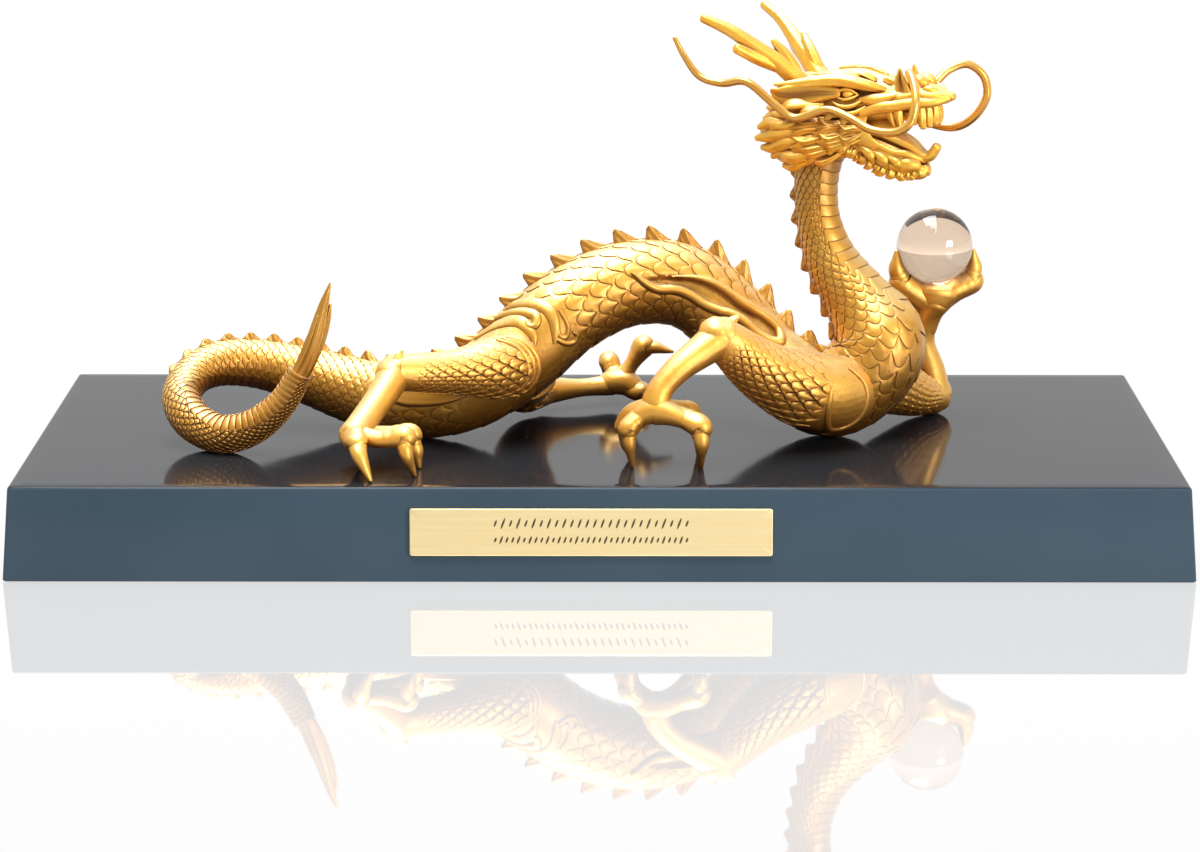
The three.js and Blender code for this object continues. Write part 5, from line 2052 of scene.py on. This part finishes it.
@dataclass
class Ball:
    """The clear ball in the raised forefoot."""

    radius: float = 10.2
    centre: Place = (89.6, 16.0, 70.4)
    rows: int = 64
    columns: int = 128

    def build(self, crystal: Material) -> None:
        """Makes the ball: latitude rings of a sphere between two poles.

        Args:
            crystal: Its finish.
        """
        latitude = np.linspace(-math.pi / 2, math.pi / 2, self.rows + 2)[1:-1, None]
        turn = np.linspace(0, TAU, self.columns, endpoint=False)[None]
        x = np.cos(latitude) * -np.cos(turn)
        y = np.cos(latitude) * np.sin(turn)
        z = np.sin(latitude) + 0 * turn
        points = np.stack([x, y, z], axis=-1) * self.radius + np.array(self.centre)
        shell = rings(points, np.zeros(points.shape[:2]))
        shell.points[-2:] = np.array(self.centre) + np.array([[0, 0, -self.radius], [0, 0, self.radius]])
        piece = make_piece("clear_ball", [shell], crystal, Shading.SMOOTH)
        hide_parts("crystal_ball")


CORNER_POINTS = 9


def rounded_slab(length: Grid, depth: Grid, height: Grid, corner: float) -> Grid:
    """Rings of a slab with rounded upright corners.

    Each ring is a rectangle of its own length and depth whose corners are quarter circles.

    Args:
        length: Each ring's length.
        depth: Each ring's depth.
        height: Each ring's height.
        corner: The corners' radius.

    Returns:
        Rings by points by 3, turning as rings expects.
    """
    quarter = np.linspace(0, math.pi / 2, CORNER_POINTS)
    starts = np.arange(4) * math.pi / 2
    angle = (starts[:, None] + quarter[None]).ravel()
    sign_x = np.repeat([1, -1, -1, 1], CORNER_POINTS)
    sign_y = np.repeat([1, 1, -1, -1], CORNER_POINTS)
    x = sign_x * (length[:, None] / 2 - corner) + corner * np.cos(angle)
    y = sign_y * (depth[:, None] / 2 - corner) + corner * np.sin(angle)
    z = np.broadcast_to(height[:, None], x.shape)
    return np.stack([x, y, z], axis=-1)


@dataclass
class Plinth:
    """The lacquered plinth, with the name plate on its leaning front.

    The sides lean in by the batter over the height. The plate's rim is the depth and the inset of each
    step of its softened edge. A row of strokes is its height on the plate, how many there are, and their
    half-length.
    """

    length: float = 300.0
    depth: float = 150.0
    height: float = 24.0
    batter: float = 1.6
    edge: float = 0.8
    foot: float = 0.3
    corner: float = 0.9
    top_ring: float = 4.0
    plate_size: Place = (91.0, 12.0, 0.8)
    plate_middle: Span = (-2.0, 12.8)
    plate_gap: float = 0.25
    plate_corner: float = 0.6
    plate_rim: tuple[Span, ...] = ((0.25, 0.0), (0.1, 0.06), (0.0, 0.22), (0.0, 3.0))
    stroke_rows: tuple[tuple[float, int, float], ...] = ((2.3, 26, 1.5), (-1.9, 34, 1.1))
    stroke_reach: float = 24.0
    stroke_half: float = 0.26
    stroke_way: Span = (0.35, 0.94)
    stroke_spread: tuple[float, ...] = (0.86, 1.0, 1.0, 0.8)
    stroke_level: tuple[float, ...] = (-0.12, -0.06, 0.02, 0.035)
    stroke_points: int = 20

    def slab(self) -> Shell:
        """The slab: sides that lean in by the batter, a rounded top edge and a small round at the foot.

        Returns:
            Its shell.
        """
        arc = np.radians(np.linspace(0, 90, 7))
        rise = self.height - self.edge + self.edge * np.sin(arc)
        z = np.concatenate([[0.0, self.foot], rise, [self.height]])
        inset = self.batter * np.clip(z, self.foot, None) / self.height
        drawn_in = self.edge * (1 - np.cos(arc))
        inset = inset + np.concatenate([[self.foot, 0.0], drawn_in, [self.edge + self.top_ring]])
        inset[0] = self.foot
        points = rounded_slab(self.length - 2 * inset, self.depth - 2 * inset, z, self.corner)
        return rings(points, np.zeros(points.shape[:2]))

    def on_front(self) -> Grid:
        """The 4 by 4 matrix from a sheet in the x, y plane to its place on the leaning front.

        Returns:
            The matrix.
        """
        lean = math.atan(self.batter / self.height)
        tilt = math.pi / 2 - lean
        x, z = self.plate_middle
        result = np.eye(4)
        result[1:3, 1:3] = [[math.cos(tilt), -math.sin(tilt)], [math.sin(tilt), math.cos(tilt)]]
        result[:3, 3] = (x, -self.depth / 2 + self.batter * z / self.height - self.plate_gap, z)
        return result

    def plate(self) -> Shell:
        """The plate: a thin sheet with rounded corners and a softened face edge.

        Returns:
            Its shell.
        """
        length, width, thick = self.plate_size
        depth, inset = np.array([(thick, 0.0), *self.plate_rim]).T
        points = rounded_slab(length - 2 * inset, width - 2 * inset, thick - depth, self.plate_corner)
        return rings(points, np.zeros(points.shape[:2]))

    def stroke(self, x: float, y: float, half: float) -> Shell:
        """A slanted stroke: long oval rings, stacked as a flat lens that is let into the face.

        Args:
            x: Its place along the plate.
            y: Its place across the plate.
            half: Its half-length.

        Returns:
            Its shell.
        """
        turn = np.linspace(0, TAU, self.stroke_points, endpoint=False)[:, None]
        run, rise = self.stroke_way
        slanted = np.array([run, rise])
        square = np.array([rise, -run])
        flat = np.cos(turn) * slanted * half + np.sin(turn) * square * self.stroke_half
        plane = np.array([x, y]) + np.array(self.stroke_spread)[:, None, None] * flat[None]
        level = self.plate_size[2] + np.array(self.stroke_level)[:, None, None]
        points = np.concatenate([plane, np.broadcast_to(level, plane.shape[:2] + (1,))], axis=-1)
        return rings(points, np.zeros(points.shape[:2]))

    def strokes(self) -> list[Shell]:
        """Rows of slanted strokes in place of an inscription, whose lengths follow a slow wave.

        Returns:
            One shell for each stroke.
        """
        shells = []
        for y, count, length in self.stroke_rows:
            for x in np.linspace(-self.stroke_reach, self.stroke_reach, count):
                shells.append(self.stroke(x, y, length * (0.8 + 0.2 * math.cos(1.7 * x))))
        return shells

    def build(self, lacquer: Material, brass: Material, enamel: Material) -> None:
        """Makes the slab, the plate and its strokes.

        Args:
            lacquer: The slab's finish.
            brass: The plate's finish.
            enamel: The strokes' finish.
        """
        slab = make_piece("lacquered_slab", [self.slab()], lacquer, Shading.CRISP)
        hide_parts("plinth")
        matrix = self.on_front()
        plate = make_piece("brass_plate", [self.plate().moved(matrix)], brass, Shading.CRISP)
        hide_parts("name_plate")
        strokes = [s.moved(matrix) for s in self.strokes()]
        make_piece("plate_strokes", strokes, enamel, Shading.CRISP)


@dataclass(frozen=True)
class Softbox:
    """A rectangular light: its place, what it faces and its two sides, in metres, and its power in watts."""

    name: str
    place: Place
    target: Place
    size: Span
    power: float

    def build(self) -> None:
        """Makes the light, turned to its target."""
        data = bpy.data.lights.new(self.name, "AREA")
        data.shape = "RECTANGLE"
        data.size, data.size_y = self.size
        data.energy = self.power
        lamp = bpy.data.objects.new(self.name, data)
        lamp.location = self.place
        lamp.rotation_mode = "QUATERNION"
        lamp.rotation_quaternion = (Vector(self.target) - Vector(self.place)).to_track_quat("-Z", "Y")
        bpy.context.scene.collection.objects.link(lamp)


SOFTBOXES = (
    Softbox("key_softbox", (-0.1, -0.6, 1.05), (0.0, 0.0, 0.04), (0.5, 0.3), 4.5),
    Softbox("top_softbox", (-0.1, 0.0, 1.1), (0.0, 0.0, 0.05), (1.0, 0.5), 17.0),
    Softbox("front_softbox", (0.9, -0.85, 0.35), (0.04, 0.0, 0.05), (0.5, 0.4), 8.5),
)


@dataclass
class Studio:
    """Floor, soft lights and the camera at the photograph's viewing angle.

    The eye is in millimetres, pitch and yaw in degrees, and the focal length and the frame's width in
    pixels. dim and bright are the air's strengths behind the camera and behind the ornament. The floor is
    in metres.
    """

    eye: Place = (4.6, -1123.1, 260.1)
    pitch: float = 11.855
    yaw: float = -0.240
    focal_px: float = 4298.2
    frame_px: float = 1200.0
    sensor: float = 36.0
    clip_end: float = 50.0
    dim: float = 0.2
    bright: float = 0.8
    floor_half: float = 8.0
    floor_drop: float = 0.0002

    def camera(self) -> None:
        """Makes the camera: its axis is level at yaw from +Y, then dipped by pitch."""
        data = bpy.data.cameras.new("camera")
        data.sensor_width = self.sensor
        data.lens = self.sensor * self.focal_px / self.frame_px
        data.clip_end = self.clip_end
        camera = bpy.data.objects.new("camera", data)
        a = math.radians(self.yaw)
        b = math.radians(self.pitch)
        ahead = Vector((math.sin(a) * math.cos(b), math.cos(a) * math.cos(b), -math.sin(b)))
        camera.location = Vector(self.eye) * MM
        camera.rotation_mode = "QUATERNION"
        camera.rotation_quaternion = ahead.to_track_quat("-Z", "Y")
        bpy.context.scene.collection.objects.link(camera)
        bpy.context.scene.camera = camera

    def floor(self, paper: Material) -> None:
        """Makes the floor, one large flat square just under the plinth.

        Args:
            paper: Its finish.
        """
        mesh = bpy.data.meshes.new("studio_floor")
        half, z = self.floor_half, -self.floor_drop
        square = [(-half, -half, z), (half, -half, z), (half, half, z), (-half, half, z)]
        mesh.from_pydata(square, [], [(0, 1, 2, 3)])
        mesh.materials.append(paper)
        floor = bpy.data.objects.new("studio_floor", mesh)
        bpy.context.scene.collection.objects.link(floor)

    def build(self, paper: Material) -> None:
        """Makes the whole studio.

        Args:
            paper: The floor's finish.
        """
        self.camera()
        self.floor(paper)
        for softbox in SOFTBOXES:
            softbox.build()
        self.air()
        bpy.context.scene.view_settings.view_transform = "Standard"

    def air(self) -> None:
        """Lights the studio's air: bright behind the ornament and dimmer behind the camera."""
        world = bpy.data.worlds.new("studio_air")
        world.use_nodes = True
        nodes = world.node_tree.nodes
        join = world.node_tree.links.new
        ways = nodes.new("ShaderNodeSeparateXYZ")
        join(nodes.new("ShaderNodeTexCoord").outputs["Generated"], ways.inputs["Vector"])
        level = nodes.new("ShaderNodeMapRange")
        ends = {"From Min": -1.0, "From Max": 1.0, "To Min": self.dim, "To Max": self.bright}
        for key, number in ends.items():
            level.inputs[key].default_value = number
        join(ways.outputs["Y"], level.inputs["Value"])
        join(level.outputs["Result"], nodes["Background"].inputs["Strength"])
        nodes["Background"].inputs["Color"].default_value = (1.0, 1.0, 1.0, 1.0)
        bpy.context.scene.world = world


def main() -> None:
    """Builds the studio and every piece of the ornament."""
    logging.basicConfig(level=logging.INFO, format="%(name)s %(message)s")
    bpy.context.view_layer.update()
    Studio().build(PalePaper().material())
    Body().build(BODY_GILT.material())
    limb_gilt = LIMB_GILT.material()
    for limb in LIMBS:
        limb.build(limb_gilt)
    head = Head()
    head.build(HEAD_GILT.material())
    Whiskers().build(head, WIRE_GILT.material())
    Ball().build(Crystal().material())
    Plinth().build(Lacquer().material(), BrushedPlate().material(), Enamel().material())


if __name__ == "__main__":
    main()
